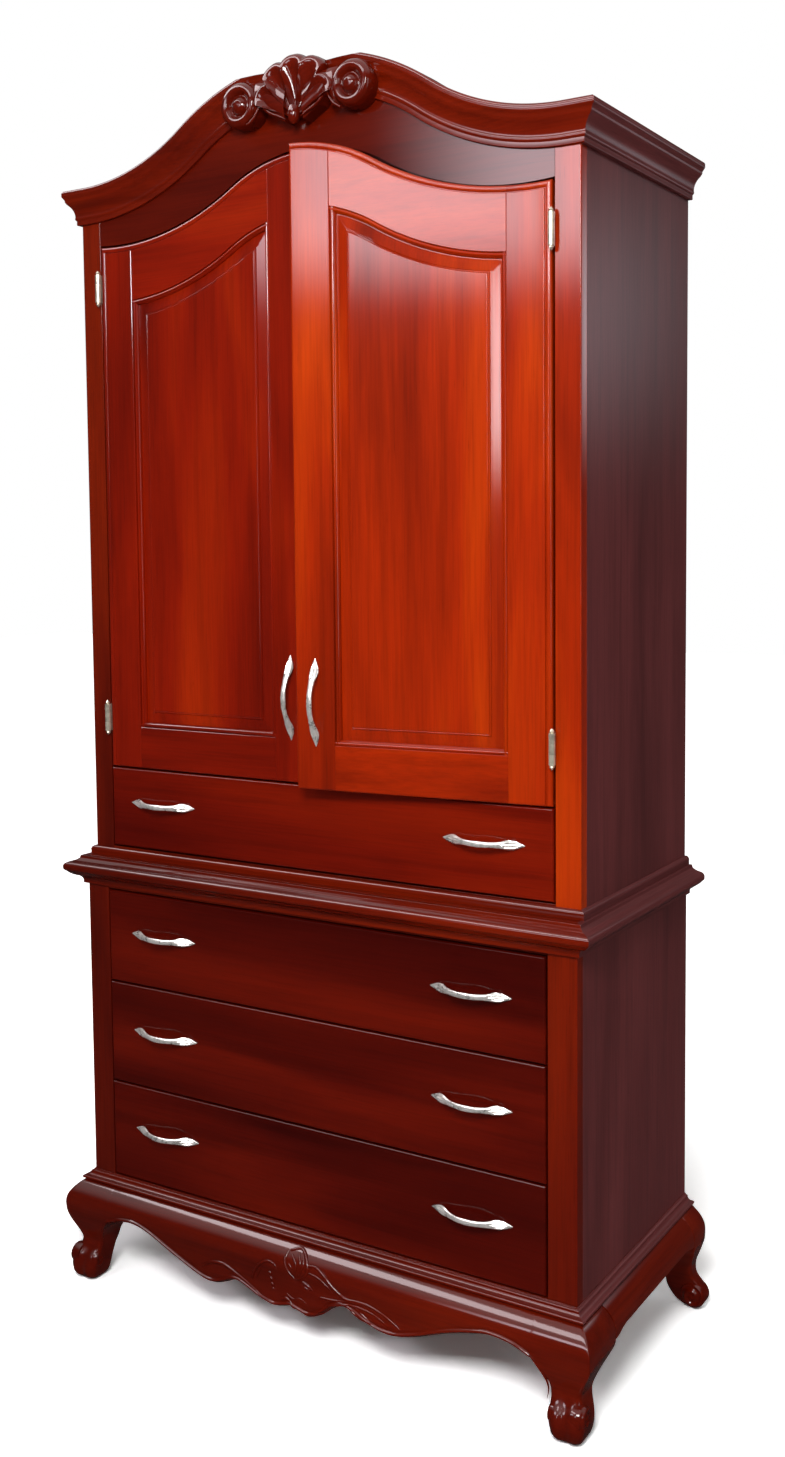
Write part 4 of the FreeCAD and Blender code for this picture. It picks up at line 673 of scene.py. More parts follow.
# how far a door lies behind its face at a distance from an edge
MOULDED_EDGE = (
    (0, 5.5), (0.5, 3.6), (1.4, 2.2), (2.8, 1.1), (4.6, 0.5), (6.4, 0.35), (8.2, 0.7), (9.4, 1.4),
    (10.2, 2.4), (10.5, 3.0), (11.3, 3.0), (11.6, 1.0), (12.2, 0.3), (13.4, 0),
)
PLAIN_EDGE = ((0, 4), (0.4, 2.3), (1.1, 1.2), (2.1, 0.45), (3.2, 0.1), (4.4, 0))
# the same from the sight line into the wood, and from the sight line into the panel
OVOLO = (
    (0, 8), (0.3, 6.6), (0.9, 5.2), (1.8, 4.0), (2.9, 3.0), (3.1, 2.2), (3.6, 1.3), (4.6, 0.8),
    (5.8, 0.7), (7.0, 1.2), (8.0, 2.2), (8.6, 3.2), (8.9, 3.4), (9.2, 2.4), (9.5, 0.5), (10, 0),
)
PANEL_RISE = (
    (0, 9), (3.1, 8.5), (6.2, 8), (9.3, 7.45), (12.4, 6.9), (15.5, 6.4), (18.6, 5.9),
    (19.0, 6.3), (19.5, 5.0), (20.4, 4.2), (21.4, 4.1), (22.0, 4.5), (22.4, 3.9), (23.0, 3.3), (24, 3),
)


def arch_line(x, lift=0):
    """The height of the door arch at x, moved square to itself by lift."""
    if abs(x) > ARCH_REACH:
        radius = (ARCH_REACH ** 2 + (ARCH_TOP - ARCH_LOW) ** 2) / (2 * (ARCH_TOP - ARCH_LOW)) \
            - ARCH_CAP - lift
        low = ARCH_LOW + lift
        return low + radius - sqrt(radius ** 2 - (abs(x) - ARCH_REACH) ** 2)
    return arched(x, ARCH_TOP, ARCH_LOW, ARCH_REACH, ARCH_CAP, lift)[0]


def arch_distance(x, z):
    """How far a point lies under the door arch, square to it."""
    steep = (arch_line(x + 1) - arch_line(x - 1)) / 2
    return (arch_line(x) - z) / sqrt(1 + steep ** 2)


def under_arch(x, table):
    """Heights at x under the arch, at the distances of a table."""
    return [arch_line(x, -place) for place, fall in reversed(table)]


def places(table, start=0, way=1):
    """The places of a table's rows, measured from start one way or the other."""
    return [start + way * row[0] for row in table][::way]


def build_door(body, side, stain, turned):
    """One door: two stiles, an arched top rail, a bottom rail and a raised panel."""
    near, far = MEETING_EDGE, HINGE_EDGE
    rail_near, rail_far = near + STILE_FLAT, far - STILE_FLAT
    sight_near = near + STILE_FLAT + STICKING
    sight_far = far - STILE_FLAT - STICKING
    sight_drop = TOP_FLAT + STICKING
    sight_foot = DOOR_FOOT + BOTTOM_FLAT + STICKING
    bevel = PANEL_RISE[-1][0]

    def outside(x, z):
        moulded = on_line(MOULDED_EDGE, min(far - x, arch_distance(x, z)))
        return max(moulded, on_line(PLAIN_EDGE, x - near), on_line(PLAIN_EDGE, z - DOOR_FOOT))

    def eased(x):
        return on_line(((0, 0.7), (JOINT, 0)), min(abs(x - rail_near), abs(rail_far - x)))

    def wood_face(inner_edge):
        """The face of a stile or rail whose distance from its sight line is inner_edge(x, z)."""
        return lambda x, z: DOOR_FACE + max(outside(x, z), eased(x), on_line(OVOLO, inner_edge(x, z)))

    def from_stile(x, z):
        return STICKING - (max(x - rail_near, 0) if x < (near + far) / 2 else max(rail_far - x, 0))

    def stile_rows(x):
        return places(PLAIN_EDGE, DOOR_FOOT) + [1200, 1500, 1800] + under_arch(x, MOULDED_EDGE)

    def top_rows(x):
        return [arch_line(x, place) - sight_drop for place in places(OVOLO)] + [arch_line(x, -50)] \
            + under_arch(x, MOULDED_EDGE)

    def foot_rows(x):
        return places(PLAIN_EDGE, DOOR_FOOT) + [DOOR_FOOT + 40] + places(OVOLO, sight_foot, -1)

    def panel_face(x, z):
        inward = min(x - sight_near, sight_far - x, z - sight_foot, arch_distance(x, z + sight_drop))
        return DOOR_FACE + on_line(PANEL_RISE, inward)

    def panel_rows(x):
        return [sight_foot - PANEL_TONGUE] + places(PANEL_RISE, sight_foot) + [1250, 1500, 1750] \
            + [height - sight_drop for height in under_arch(x, PANEL_RISE)] \
            + [arch_line(x, PANEL_TONGUE) - sight_drop]

    near_columns = places(PLAIN_EDGE, near) + [near + 20, near + 40, near + 58, rail_near - JOINT] \
        + places(OVOLO, sight_near, -1)
    far_columns = places(OVOLO, sight_far) + [rail_far + JOINT, far - 56, far - 40, far - 26] \
        + places(MOULDED_EDGE, far, -1)
    rail_columns = [rail_near, rail_near + JOINT] \
        + [rail_near + (rail_far - rail_near) * step / 56 for step in range(1, 56)] \
        + [rail_far - JOINT, rail_far]
    panel_columns = [sight_near - PANEL_TONGUE] + places(PANEL_RISE, sight_near) \
        + [sight_near + bevel + (sight_far - sight_near - 2 * bevel) * step / 56 for step in range(1, 56)] \
        + places(PANEL_RISE, sight_far, -1) + [sight_far + PANEL_TONGUE]
    # the rails lie over a stile's moulded inner edge, so that it shows only beside the panel
    stile_face = wood_face(from_stile)
    pieces = (
        ("stiles", "z", ((near_columns, stile_rows, stile_face), (far_columns, stile_rows, stile_face)),
         DOOR_BACK),
        ("top_rail", "x", ((rail_columns, top_rows,
                            wood_face(lambda x, z: -arch_distance(x, z + sight_drop))),), DOOR_BACK),
        ("bottom_rail", "x", ((rail_columns, foot_rows, wood_face(lambda x, z: sight_foot - z)),),
         DOOR_BACK),
        ("panel", "z", ((panel_columns, panel_rows, panel_face),), PANEL_BACK),
    )
    for name, grain, blocks, back in pieces:
        build = Build()
        for columns, rows, face in blocks:
            slab(build, columns, rows, face, back)
        build.points = [(side * x, y, z) for x, y, z in build.points]
        leaf = build.piece("%s_%s_lacquered" % (body, name), (stain[grain],), ("%s_%s" % (body, name),),
                           body, "mahogany_doors", smooth=24, turned=turned)
        leaf.modifiers.new("flat_fields", "WEIGHTED_NORMAL").keep_sharp = True


# ---------------- pulls
# stations of half a pull from its tip: along, before the face, half width, half thickness, vein height
PULL_LINE = (
    (-74, 0.8, 0.5, 0.5, 0.0),
    (-71, 1.3, 1.9, 1.0, 0.1),
    (-66, 2.0, 3.9, 1.6, 0.3),
    (-60, 3.2, 6.2, 2.3, 0.7),
    (-53, 5.6, 7.9, 2.9, 1.0),
    (-46, 9.2, 7.6, 3.1, 0.8),
    (-38, 13.8, 5.8, 2.9, 0.4),
    (-28, 18.8, 4.7, 2.6, 0.1),
    (-14, 23.6, 4.6, 2.6, 0.0),
    (0, 25.0, 4.9, 2.7, 0.0),
)
PULL_HALF = 74
PULL_LIFT = 11
DRAWER_PROUD = 3
# a drawer, how far its pulls are from the middle, the level of its middle, and its frame's front
DRAWER_PULLS = (
    ("upper_drawer", 332, 912, UPPER_FRONT), ("top_drawer", 319, 670, LOWER_FRONT),
    ("middle_drawer", 319, 486, LOWER_FRONT), ("bottom_drawer", 319, 298, LOWER_FRONT),
)
# the middle of a door's pull from the meeting edge and from the door's foot
DOOR_PULL_INSET = 38
DOOR_PULL_HEIGHT = 148


def pull_shape():
    """A cast bow between two veined leaves, along X, its back on the plane y = 0."""
    build = Build()
    rings = []
    for station in range(73):
        x = -PULL_HALF + 2 * PULL_HALF * station / 72
        before, wide, thick, vein = between(PULL_LINE, -abs(x))
        next_before = between(PULL_LINE, -abs(abs(x) - 1))[0]
        steep = atan2(next_before - before, 1) * (1 if x < 0 else -1)
        ring = []
        for step in range(20):
            turn = 2 * pi * step / 20
            across = wide * cos(turn)
            out = thick * sin(turn)
            if out > 0:
                out += vein * cos(3 * pi * across / max(wide, 0.1))
            out = max(out, -before + 0.05) if abs(x) > 50 else out
            ring.append((x - out * sin(steep), -(before + out * cos(steep)), across))
        rings.append(ring)
    build.loft(rings)
    for side in (-1, 1):
        button(build, (side * 56, -0.2, 0), (0, -1, 0), 4.6, 0,
               lambda share, turn: 4.4 * (1 - share ** 4), 6, 20)
    return build


def build_pulls():
    """Two pulls on each drawer, one upright on each door."""
    shape = pull_shape()
    for drawer, offset, height, front in DRAWER_PULLS:
        build = Build()
        for side in (-1, 1):
            build.add(shape, lambda x, y, z: (side * offset + x, front - DRAWER_PROUD + y,
                                              height + PULL_LIFT + z))
        build.piece(drawer + "_pulls_cast", (PULL,), (drawer + "_pulls",), drawer, "pull_metal", smooth=50)
    for door, side, turned in (("left_door", -1, None), ("right_door", 1, AJAR)):
        build = Build()
        build.add(shape, lambda x, y, z: (side * (MEETING_EDGE + DOOR_PULL_INSET + z), DOOR_FACE + y,
                                          DOOR_FOOT + DOOR_PULL_HEIGHT - x))
        build.piece(door + "_pull_cast", (PULL,), (door + "_pull",), door, "pull_metal", smooth=50,
                    turned=turned)


# ---------------- base frame
KNEE_TOP = 145
# how far the knees stand out of the case, at the sides and in front, and what is left at their top
SWELL = 40
FRONT_SWELL = 44
SHELF = 14
# the legs' blocks reach in as far as the front apron's ends
APRON_HALF = 441
BLOCK_DEPTH = 60
# a level, then how far a front leg's outer and inner side, front and back stand out, and its rounding
FRONT_LEG = (
    (0, 12, -16, 28, 0, 9), (4, 19, -22, 38, -4, 10), (11, 24, -27, 46, -8, 11),
    (22, 27, -30, 50, -11, 12), (35, 28, -32, 50, -14, 13), (48, 25, -33, 44, -18, 12),
    (61, 20, -34, 33, -22, 10), (73, 17, -36, 27, -27, 8), (87, 21, -38, 29, -31, 6),
    (101, 27, -44, 34, -37, 4), (115, 34, -53, 39, -46, 3), (128, 39, -65, 42, -62, 3),
    (145, 40, -65, 44, -62, 3),
)
# a level, then a rear leg's outer and inner side, its depth from the back, and its rounding
REAR_LEG = (
    (0, 26, 2, 13, 4), (9, 40, -10, 19, 6), (22, 46, -20, 23, 7), (35, 46, -26, 26, 7),
    (48, 38, -28, 28, 7), (61, 27, -28, 30, 7), (73, 24, -30, 32, 7), (87, 25, -34, 36, 6),
    (101, 30, -42, 43, 4), (115, 35, -51, 50, 3), (128, 39, -62, 59, 3), (145, 40, -62, 60, 3),
)
# a level, then the depth of the hollows between the toes of a front leg
LOBES = ((0, 0), (8, 1.6), (20, 3.4), (40, 3.6), (60, 2.0), (78, 1.0), (96, 0))
# how far the apron lies behind its face at a distance from its lower edge: a chamfer under a bead
APRON_EDGE = (
    (0, 8), (1.5, 5.6), (3.2, 2.8), (4.2, 1.0), (5.0, -0.8), (6.2, -2.2), (7.6, -2.6), (9.0, -2.0),
    (10.0, -0.6), (10.8, 0.9), (12.4, 0.7), (15, 0),
)


def shoulder(level, swell=SWELL):
    """How far aprons and knees stand before the case at a level."""
    return swell - (swell - SHELF) * max(0, (level - KNEE_TOP) / (LEG_TOP - KNEE_TOP)) ** 2.3


# the lower edge of the front apron: hand cut, so its lobes are not quite alike
APRON_LINE = (
    (-APRON_HALF, 122), (-408, 134), (-372, 137), (-338, 129), (-288, 108), (-232, 86), (-205, 78),
    (-185, 77), (-160, 85), (-140, 94), (-122, 92), (-88, 79), (-55, 71), (-34, 75), (-17, 80), (-2, 76),
    (21, 72), (45, 81), (70, 100), (87, 108), (104, 106), (130, 95), (160, 86), (185, 84), (205, 87),
    (240, 98), (290, 118), (338, 132), (372, 138), (408, 134), (APRON_HALF, 122),
)


def apron_low(x):
    """The height of the front apron's lower edge at x."""
    return between(APRON_LINE, max(-APRON_HALF, min(APRON_HALF, x)))[0]


def apron_slope(x):
    """How steep that edge is at x."""
    return (apron_low(x + 2) - apron_low(x - 2)) / 4


def apron_face(x, z):
    """The front apron's face, its bead and the swelling ground of its carving."""
    square = (z - apron_low(x)) / sqrt(1 + apron_slope(x) ** 2)
    ground = 2.2 * exp(-((x - 5) / 78) ** 4 - ((z - 118) / 34) ** 4)
    return LOWER_FRONT - shoulder(z, FRONT_SWELL) + on_line(APRON_EDGE, square) - ground


def build_front_apron():
    """The front apron with its scalloped and beaded edge."""
    build = Build()
    rings = []
    back = LOWER_FRONT - SWELL + 28
    strip_back = LOWER_FRONT + 12
    for column in range(221):
        x = -APRON_HALF + 2 * APRON_HALF * column / 220
        low = apron_low(x)
        tilt = sqrt(1 + min(abs(apron_slope(x)), 1.2) ** 2)
        heights = [low + place * tilt for place in places(APRON_EDGE)]
        heights += [heights[-1] + (KNEE_TOP - 4 - heights[-1]) * step / 6 for step in range(1, 7)] \
            if heights[-1] < KNEE_TOP - 6 else [heights[-1] + 0.3 * step for step in range(1, 7)]
        start = max(KNEE_TOP, heights[-1] + 0.5)
        heights += [start + (LEG_TOP - start) * step / 9 for step in range(10)]
        # a strip behind the base moulding ties the apron to the case
        rings.append([(x, apron_face(x, z), z) for z in heights]
                     + [(x, LOWER_FRONT, LEG_TOP), (x, LOWER_FRONT, BASE_HEIGHT),
                        (x, strip_back, BASE_HEIGHT), (x, strip_back, LEG_TOP - 5),
                        (x, back, LEG_TOP - 16), (x, back, low + 1), (x, back - 4, low)])
    build.loft(rings)
    build.piece("front_apron_shaped", (BASE["x"],), ("front_apron",), smooth=40)


# carved lines of the apron: points across and up, and the thickness of the line
APRON_CARVING = (
    (((-212, 106), (-184, 119), (-156, 120), (-117, 104), (-78, 86), (-54, 79)), 2.6),
    (((-97, 112), (-92, 128), (-78, 145), (-60, 152), (-46, 148), (-43, 140)), 2.4),
    (((-86, 118), (-80, 133), (-68, 142)), 1.5),
    (((-60, 134), (-55, 129)), 3.0), (((-57, 125), (-51, 120)), 2.8), (((-55, 116), (-49, 111)), 2.5),
    (((-52, 107), (-47, 103)), 2.1),
    (((-27, 174), (-29, 160), (-20, 146), (-3, 135)), 2.0),
    (((-24, 175), (-4, 180), (13, 170), (20, 153), (8, 139), (-3, 135)), 2.6),
    (((-18, 171), (-6, 160), (-2, 142)), 1.8), (((-6, 175), (4, 160), (2, 142)), 1.8),
    (((6, 171), (10, 158), (5, 145)), 1.6), (((-20, 158), (-11, 150)), 1.5),
    (((12, 134), (22, 131), (34, 124)), 3.0), (((16, 127), (25, 122)), 2.0),
    (((17, 162), (36, 163), (54, 155), (74, 140), (99, 127), (126, 128), (148, 127), (180, 117),
      (208, 102)), 2.7),
    (((24, 152), (44, 149), (62, 139), (74, 130)), 1.7),
    (((48, 117), (72, 118), (100, 122)), 1.8),
    (((62, 107), (92, 116), (120, 119), (150, 116), (176, 106)), 2.0),
    (((-34, 92), (-21, 96), (-10, 86), (-1, 78)), 2.2),
    (((5, 77), (20, 75), (40, 82), (60, 93)), 1.6),
    (((102, 107), (114, 100), (127, 92)), 2.3), (((112, 110), (126, 101), (142, 92)), 2.0),
    (((128, 111), (142, 102), (157, 94)), 1.8), (((-22, 105), (-8, 99), (6, 103), (20, 98)), 1.4),
)
CARVING_WEIGHT = 1.3
# the bead down the inner edge of a front leg
LEG_BEAD = ((438, 131), (447, 122), (456, 108), (463, 92), (466, 76), (466, 62))


def spline(points):
    """Points every three millimetres or so along a smooth line through the given ones."""
    table = []
    run = 0
    for index, point in enumerate(points):
        if index:
            run += dist(point, points[index - 1])
        table.append((run,) + tuple(point))
    pieces = max(3, round(run / 3))
    return [tuple(between(table, run * piece / pieces)) for piece in range(pieces + 1)]


def carved_line(build, points, thick, face, sink=0.1):
    """A raised line that tapers at both ends, half let into a face."""
    line = spline(points)
    last = len(line) - 1
    radii = [thick * max(0.12, sin(pi * min(1, 0.12 + 0.88 * index / last) ** 0.8) ** 0.6)
             for index in range(last + 1)]
    tube(build, [(x, face(x, z) + sink * thick, z) for x, z in line], radii, 8)


def build_apron_carving():
    """Leaves and stems on the front apron, and a bead down each front leg's inner edge."""
    build = Build()
    for points, thick in APRON_CARVING:
        carved_line(build, points, CARVING_WEIGHT * thick, apron_face)
    for side in (-1, 1):
        carved_line(build, [(side * x, z) for x, z in LEG_BEAD], 2.4,
                    lambda x, z: LOWER_FRONT - between(FRONT_LEG, z)[2], 0.3)
    build.piece("apron_carving", (BASE["x"],), smooth=60)


def leg_ring(x_low, x_high, y_low, y_high, level, soft, lobe=0):
    """A rounded rectangle; lobe is how deep the hollows beside the swelling of its front are."""
    soft = min(soft, (x_high - x_low) / 2 - 0.5, (y_high - y_low) / 2 - 0.5)
    corners = ((x_high - soft, y_low + soft, -90), (x_high - soft, y_high - soft, 0),
               (x_low + soft, y_high - soft, 90), (x_low + soft, y_low + soft, 180))
    outline = []
    for x, y, start in corners:
        for step in range(8):
            turn = radians(start + 90 * step / 7)
            outline.append((x + soft * cos(turn), y + soft * sin(turn)))
    outline += [(x_low + soft + (x_high - x_low - 2 * soft) * step / 16, y_low) for step in range(1, 16)]
    ring = []
    for x, y in outline:
        across = (x - x_low) / (x_high - x_low) * 2 - 1
        near = max(0, 1 - (y - y_low) / (0.45 * (y_high - y_low)))
        hollow = lobe * (0.5 + 0.5 * cos(2 * pi * across)) * near
        ring.append((x, y + hollow, level))
    return ring


def build_legs():
    """Four short cabriole legs: lobed scroll toes in front, outward scrolls at the back."""
    levels = [KNEE_TOP * step / 44 for step in range(45)]
    shoulders = [KNEE_TOP + (LEG_TOP - KNEE_TOP) * step / 10 for step in range(1, 11)]
    front, rear = Build(), Build()
    for side in (-1, 1):
        rings, rear_rings = [], []
        for level in levels + shoulders:
            if level <= KNEE_TOP:
                out, inner, fore, aft, soft = between(FRONT_LEG, level)
                rear_out, rear_in, depth, rear_soft = between(REAR_LEG, level)
            else:
                inner, fore, aft, soft = FRONT_LEG[-1][2:]
                rear_in, depth, rear_soft = REAR_LEG[-1][2:]
                out = rear_out = shoulder(level)
                fore = shoulder(level, FRONT_SWELL)
            x_pair = sorted((side * (LOWER_HALF + out), side * (LOWER_HALF + inner)))
            rings.append(leg_ring(*x_pair, LOWER_FRONT - fore, LOWER_FRONT - aft, level, soft,
                                  on_line(LOBES, level)))
            x_pair = sorted((side * (LOWER_HALF + rear_out), side * (LOWER_HALF + rear_in)))
            rear_rings.append(leg_ring(*x_pair, BACK_PLANE - depth, BACK_PLANE, level, rear_soft))
        front.loft(rings)
        rear.loft(rear_rings)
        # what reaches up behind the base moulding
        block = sorted((side * APRON_HALF, side * LOWER_HALF))
        for build, face in ((front, LOWER_FRONT), (rear, BACK_PLANE - BLOCK_DEPTH)):
            slab(build, block, lambda x: [LEG_TOP - 6, BASE_HEIGHT], lambda x, z: face,
                 face + BLOCK_DEPTH)
        button(front, (side * (LOWER_HALF + 22), LOWER_FRONT - 27, 44), (side, 0, 0), 20, 14,
               volute(7, 1.7, 1.7, side), 18, 40)
        button(front, (side * (LOWER_HALF - 29), LOWER_FRONT - 28, 42), (-side, 0, 0), 16, 10,
               volute(5, 1.2, 1.5, -side), 14, 32)
        button(rear, (side * (LOWER_HALF + 25), BACK_PLANE - 27, 27.5), (0, -1, 0), 23, 25,
               volute(6, 2.0, 1.8, -side), 18, 44)
    front.piece("front_legs_carved", (BASE["x"],), ("front_legs",), smooth=48)
    rear.piece("rear_legs_carved", (BASE["x"],), ("rear_legs",), smooth=48)


# ---------------- crest
SHELL_ROOT = 2104
SHELL_PLANE = UPPER_FRONT - CORNICE_FRONT
SHELL_BACK = SHELL_PLANE + 26
# lobes at each side of the middle one, the angle of each, and how far they reach from the root
SHELL_LOBES = 2
LOBE_ANGLE = 27
LOBE_REACH = (103.5, 103, 92)
LOBE_STEPS = 18
HUB = 7
SCROLL_OFFSET = 113
SCROLL_LEVEL = 2143
SCROLL_RADIUS = 39
# the lower and the upper edge of the leaf between shell and scroll
WEB_LOW = (
    (18, 2100), (32, 2108), (50, 2118), (64, 2134), (68, 2134), (78, 2116), (90, 2107), (114, 2106),
)
WEB_HIGH = ((18, 2150), (40, 2166), (60, 2171), (76, 2172), (96, 2176), (114, 2175))
# raised lines along the leaf's edge, and their thickness
WEB_VEINS = (
    (((94, 2106), (82, 2113), (73, 2124), (66, 2137)), 2.6),
    (((64, 2137), (56, 2126), (44, 2117), (28, 2110), (14, 2103)), 3.0),
)
# shares of the way from the hub to the rim at which the shell has points
SHELL_SHARES = (
    0, 0.05, 0.1, 0.16, 0.22, 0.29, 0.36, 0.44, 0.52, 0.6, 0.68, 0.75, 0.81, 0.86, 0.9, 0.935, 0.96,
    0.98, 0.993, 1,
)


def shell_point(share, angle):
    """The point of the shell's face at a share of the way out and an angle from upright."""
    lobe = max(-SHELL_LOBES, min(SHELL_LOBES, round(angle / LOBE_ANGLE)))
    across = (angle / LOBE_ANGLE - lobe) * 2
    reach = LOBE_REACH[abs(lobe)] - 7 * abs(across) ** 3
    # it rises outward, with a hollow in each lobe, a ridge between two lobes and a round rim
    hollow = cos(pi * across / 2)
    rise = 7 + 14 * share ** 1.2 - 9.5 * hollow * min(1, share / 0.25) * (1 - share ** 5)
    ridge = max(0, abs(across) - 0.8) / 0.2
    rise += 1.5 * ridge * (1 - share ** 2) * min(1, share / 0.2)
    rise *= (1 - max(0, (share - 0.74) / 0.26) ** 2.6) ** 0.5
    turn = radians(angle)
    length = HUB + (reach - HUB) * share
    return length * sin(turn), SHELL_PLANE - rise, SHELL_ROOT + length * cos(turn)


def build_shell():
    """The start of the crest: the shell's face, its flat back and the rim between them."""
    build = Build()
    angles = [(step / LOBE_STEPS - SHELL_LOBES - 0.5) * LOBE_ANGLE
              for step in range(LOBE_STEPS * (2 * SHELL_LOBES + 1) + 1)]
    count = len(angles)
    rows = len(SHELL_SHARES)
    build.points += [shell_point(share, angle) for share in SHELL_SHARES for angle in angles]
    build.points += [(x, SHELL_BACK, z) for x, y, z in build.points]
    far = rows * count
    for row in range(rows - 1):
        for column in range(count - 1):
            near = row * count + column
            build.faces.append((near, near + 1, near + count + 1, near + count))
            build.faces.append((near + far, near + far + count, near + far + count + 1, near + far + 1))
    border = list(range(count)) + [row * count + count - 1 for row in range(1, rows)]
    border += [(rows - 1) * count + column for column in range(count - 2, -1, -1)]
    border += [row * count for row in range(rows - 2, 0, -1)]
    for here, there in zip(border, border[1:] + border[:1]):
        build.faces.append((here, far + here, far + there, there))
    build.marks += [0] * len(build.faces)
    return build


def build_crest():
    """The carved shell between two scrolls, on leaves."""
    build = build_shell()
    # the drop at the shell's root
    tube(build, [(0, SHELL_PLANE - 4 - 3 * sin(pi * step / 12), SHELL_ROOT + 16 - 26 * step / 12)
                 for step in range(13)],
         [11 * sqrt(1 - 0.99 * (step / 12) ** 3) for step in range(13)], 20)
    for side in (-1, 1):
        button(build, (side * SCROLL_OFFSET, SHELL_PLANE + 3, SCROLL_LEVEL), (0, -1, 0), SCROLL_RADIUS,
               22, rolled(-side), 40, 72)

        def web_face(x, z):
            low, high = on_line(WEB_LOW, abs(x)), on_line(WEB_HIGH, abs(x))
            share = (z - low) / (high - low)
            swell = sin(pi * max(0.0, min(1.0, 0.08 + 0.84 * share))) ** 0.6
            near_scroll = max(0, min(1, (abs(x) - 76) / 20))
            return SHELL_PLANE - 2 - 9 * swell + 14 * near_scroll ** 2 * (3 - 2 * near_scroll)

        def web_rows(x):
            low, high = on_line(WEB_LOW, abs(x)), on_line(WEB_HIGH, abs(x))
            return [low + (high - low) * step / 22 for step in range(23)]

        columns = [side * (18 + 96 * step / 30) for step in range(31)]
        slab(build, columns, web_rows, web_face, SHELL_PLANE + 24)
        for leaf, thick in WEB_VEINS:
            carved_line(build, [(side * x, z) for x, z in leaf], thick, lambda x, z: SHELL_PLANE - 10, 0)
    build.piece("crest_shell", (BASE["x"],), ("crest_carving",), smooth=55)


# ---------------- the studio
FLOOR_WIDTH = 30
# the floor's own glow, which hides it from the camera, begins and is full at these distances
GLOW_START = 0.5
GLOW_END = 1.6
# the photo's camera, solved from the cabinet's parallel edges: its place in metres, and degrees
CAMERA_PLACE = (1.4263, -2.284319, 1.4066)
CAMERA_TURN = 32.61849
CAMERA_TILT = -4.15394
CAMERA_ROLL = -0.6417


def fade_rim(lamp, rim):
    """Light that fades out towards the lamp's edges over a share of its width and height."""
    lamp.use_nodes = True
    tree = lamp.node_tree
    where = add_node(tree, "ShaderNodeNewGeometry")
    split = add_node(tree, "ShaderNodeSeparateXYZ", {0: where.outputs["Parametric"]})
    fades = []
    for axis in (0, 1):
        off = reckoned(tree, "ABSOLUTE", reckoned(tree, "SUBTRACT", split.outputs[axis], 0.5))
        fades.append(spread(tree, off, 0.0, 1.0, 0.5, 0.5 - rim, "SMOOTHSTEP"))
    emission = next(node for node in tree.nodes if node.type == "EMISSION")
    fill(emission, {"Strength": reckoned(tree, "MULTIPLY", *fades)})


def add_lamp(name, place, target, width, height, power, colour=(1, 1, 1), rim=0.0, only_gloss=False):
    """A rectangular soft box that looks at a point, in metres and watts; rim is the share that fades."""
    lamp = bpy.data.lights.new(name, "AREA")
    lamp.shape = "RECTANGLE"
    lamp.size = width
    lamp.size_y = height
    lamp.energy = power
    lamp.color = colour
    if rim:
        fade_rim(lamp, rim)
    item = bpy.data.objects.new(name, lamp)
    item.location = place
    item.rotation_euler = (Vector(target) - Vector(place)).to_track_quat("-Z", "Y").to_euler()
    item.visible_camera = False
    item.visible_diffuse = not only_gloss
    bpy.context.scene.collection.objects.link(item)


def build_world():
    """White for the camera, less of it on the object, and a dim room with a bright ceiling in gloss."""
    world = bpy.data.worlds.new("studio")
    world.use_nodes = True
    bpy.context.scene.world = world
    tree = world.node_tree
    path = add_node(tree, "ShaderNodeLightPath").outputs
    seen = reckoned(tree, "MAXIMUM", path["Is Camera Ray"], path["Is Transmission Ray"])
    heading = add_node(tree, "ShaderNodeTexCoord")
    split = add_node(tree, "ShaderNodeSeparateXYZ", {0: heading.outputs["Generated"]})
    strength = add_node(tree, "ShaderNodeMix", {
        "Factor": path["Is Glossy Ray"],
        2: spread(tree, seen, 0.32, 1.0),
        3: spread(tree, split.outputs[2], 0.035, 1.4, 0.45, 0.8, "SMOOTHSTEP"),
    })
    fill(tree.nodes["Background"], {"Color": (1, 1, 1, 1), "Strength": strength.outputs[0]})


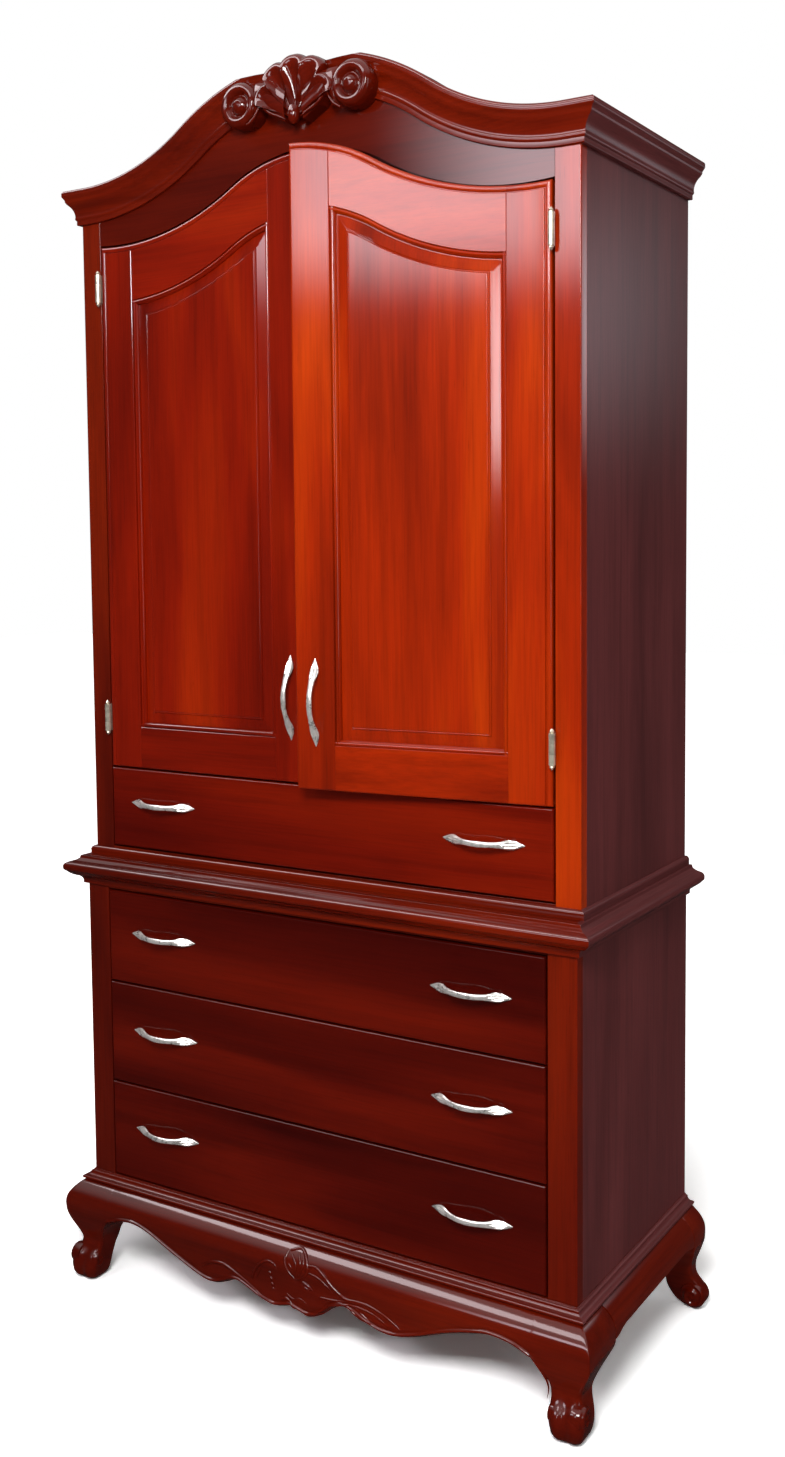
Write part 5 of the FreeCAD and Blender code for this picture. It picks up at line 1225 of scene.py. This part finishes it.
def build_floor():
    """A pale floor that keeps the object's shadow and goes over into the white background."""
    bpy.ops.mesh.primitive_plane_add(size=1, location=(0, 0, 0))
    floor = bpy.context.object
    floor.name = "floor"
    floor.scale = (FLOOR_WIDTH, FLOOR_WIDTH, 1)
    floor.visible_glossy = False
    material, tree, shader = new_material("floor")
    fill(shader, {"Base Color": (0.86, 0.86, 0.86, 1), "Roughness": 0.8, "Specular IOR Level": 0.1})
    where = add_node(tree, "ShaderNodeTexCoord")
    reach = add_node(tree, "ShaderNodeVectorMath", {0: where.outputs["Object"]}, operation="LENGTH")
    glow = add_node(tree, "ShaderNodeEmission", {
        "Strength": spread(tree, reach.outputs["Value"], 0.0, 0.75, GLOW_START / FLOOR_WIDTH,
                           GLOW_END / FLOOR_WIDTH, "SMOOTHSTEP"),
    })
    bright = add_node(tree, "ShaderNodeBsdfDiffuse", {"Color": (1.9, 1.9, 1.9, 1)})
    seen = add_node(tree, "ShaderNodeAddShader", {0: bright.outputs[0], 1: glow.outputs[0]})
    path = add_node(tree, "ShaderNodeLightPath")
    choice = add_node(tree, "ShaderNodeMixShader", {
        0: path.outputs["Is Camera Ray"], 1: shader.outputs[0], 2: seen.outputs[0],
    })
    fill(tree.nodes["Material Output"], {"Surface": choice.outputs[0]})
    floor.data.materials.append(material)


def build_lamps():
    """The soft boxes; strip and streak light only what reflects."""
    add_lamp("key", (-0.9, -3.7, 2.85), (0.0, -0.2, 1.5), 2.0, 1.05, 80, (0.94, 0.86, 0.93), rim=0.35)
    add_lamp("strip", (-1.5, -1.9, 4.0), (-0.2, -0.2, 1.0), 4.6, 0.8, 130, (1.0, 0.9, 0.93),
             only_gloss=True)
    add_lamp("right", (1.2, -2.6, 2.6), (0.3, -0.1, 1.3), 0.8, 0.8, 86)
    add_lamp("streak", (0.62, -3.7, 2.1), (0.4, -0.2, 1.6), 0.22, 1.1, 16, (1.0, 0.92, 0.94), rim=0.3,
             only_gloss=True)
    add_lamp("fill", (3.0, -1.6, 1.9), (0.4, 0.0, 1.0), 0.5, 2.0, 10)
    add_lamp("window", (1.8, 2.6, 2.2), (0.5, 0.1, 1.6), 0.7, 1.3, 9, (0.88, 0.92, 1.0), rim=0.48)


def build_camera():
    """The photo's camera."""
    scene = bpy.context.scene
    camera = bpy.data.cameras.new("camera")
    camera.lens = 36.64933
    camera.sensor_width = 36
    camera.shift_x = 0.02664
    camera.shift_y = -0.05509
    viewer = bpy.data.objects.new("camera", camera)
    turn = Matrix.Rotation(radians(CAMERA_TURN), 3, "Z")
    tilt = Matrix.Rotation(radians(90 + CAMERA_TILT), 3, "X")
    roll = Matrix.Rotation(radians(CAMERA_ROLL), 3, "Z")
    viewer.matrix_world = Matrix.Translation(CAMERA_PLACE) @ (turn @ tilt @ roll).to_4x4()
    scene.collection.objects.link(viewer)
    scene.camera = viewer
    scene.view_settings.view_transform = "Standard"


dress_nodes()
for moulding in MOULDINGS:
    surround(*moulding)
build_cornice()
build_upper_rails()
# the left door wears the darker, painted-shade copy of the door stain
build_door("left_door", -1, SHADED_LEFT_DOOR, None)
build_door("right_door", 1, DOOR, AJAR)
build_pulls()
build_front_apron()
build_apron_carving()
build_legs()
build_crest()
build_world()
build_floor()
build_lamps()
build_camera()
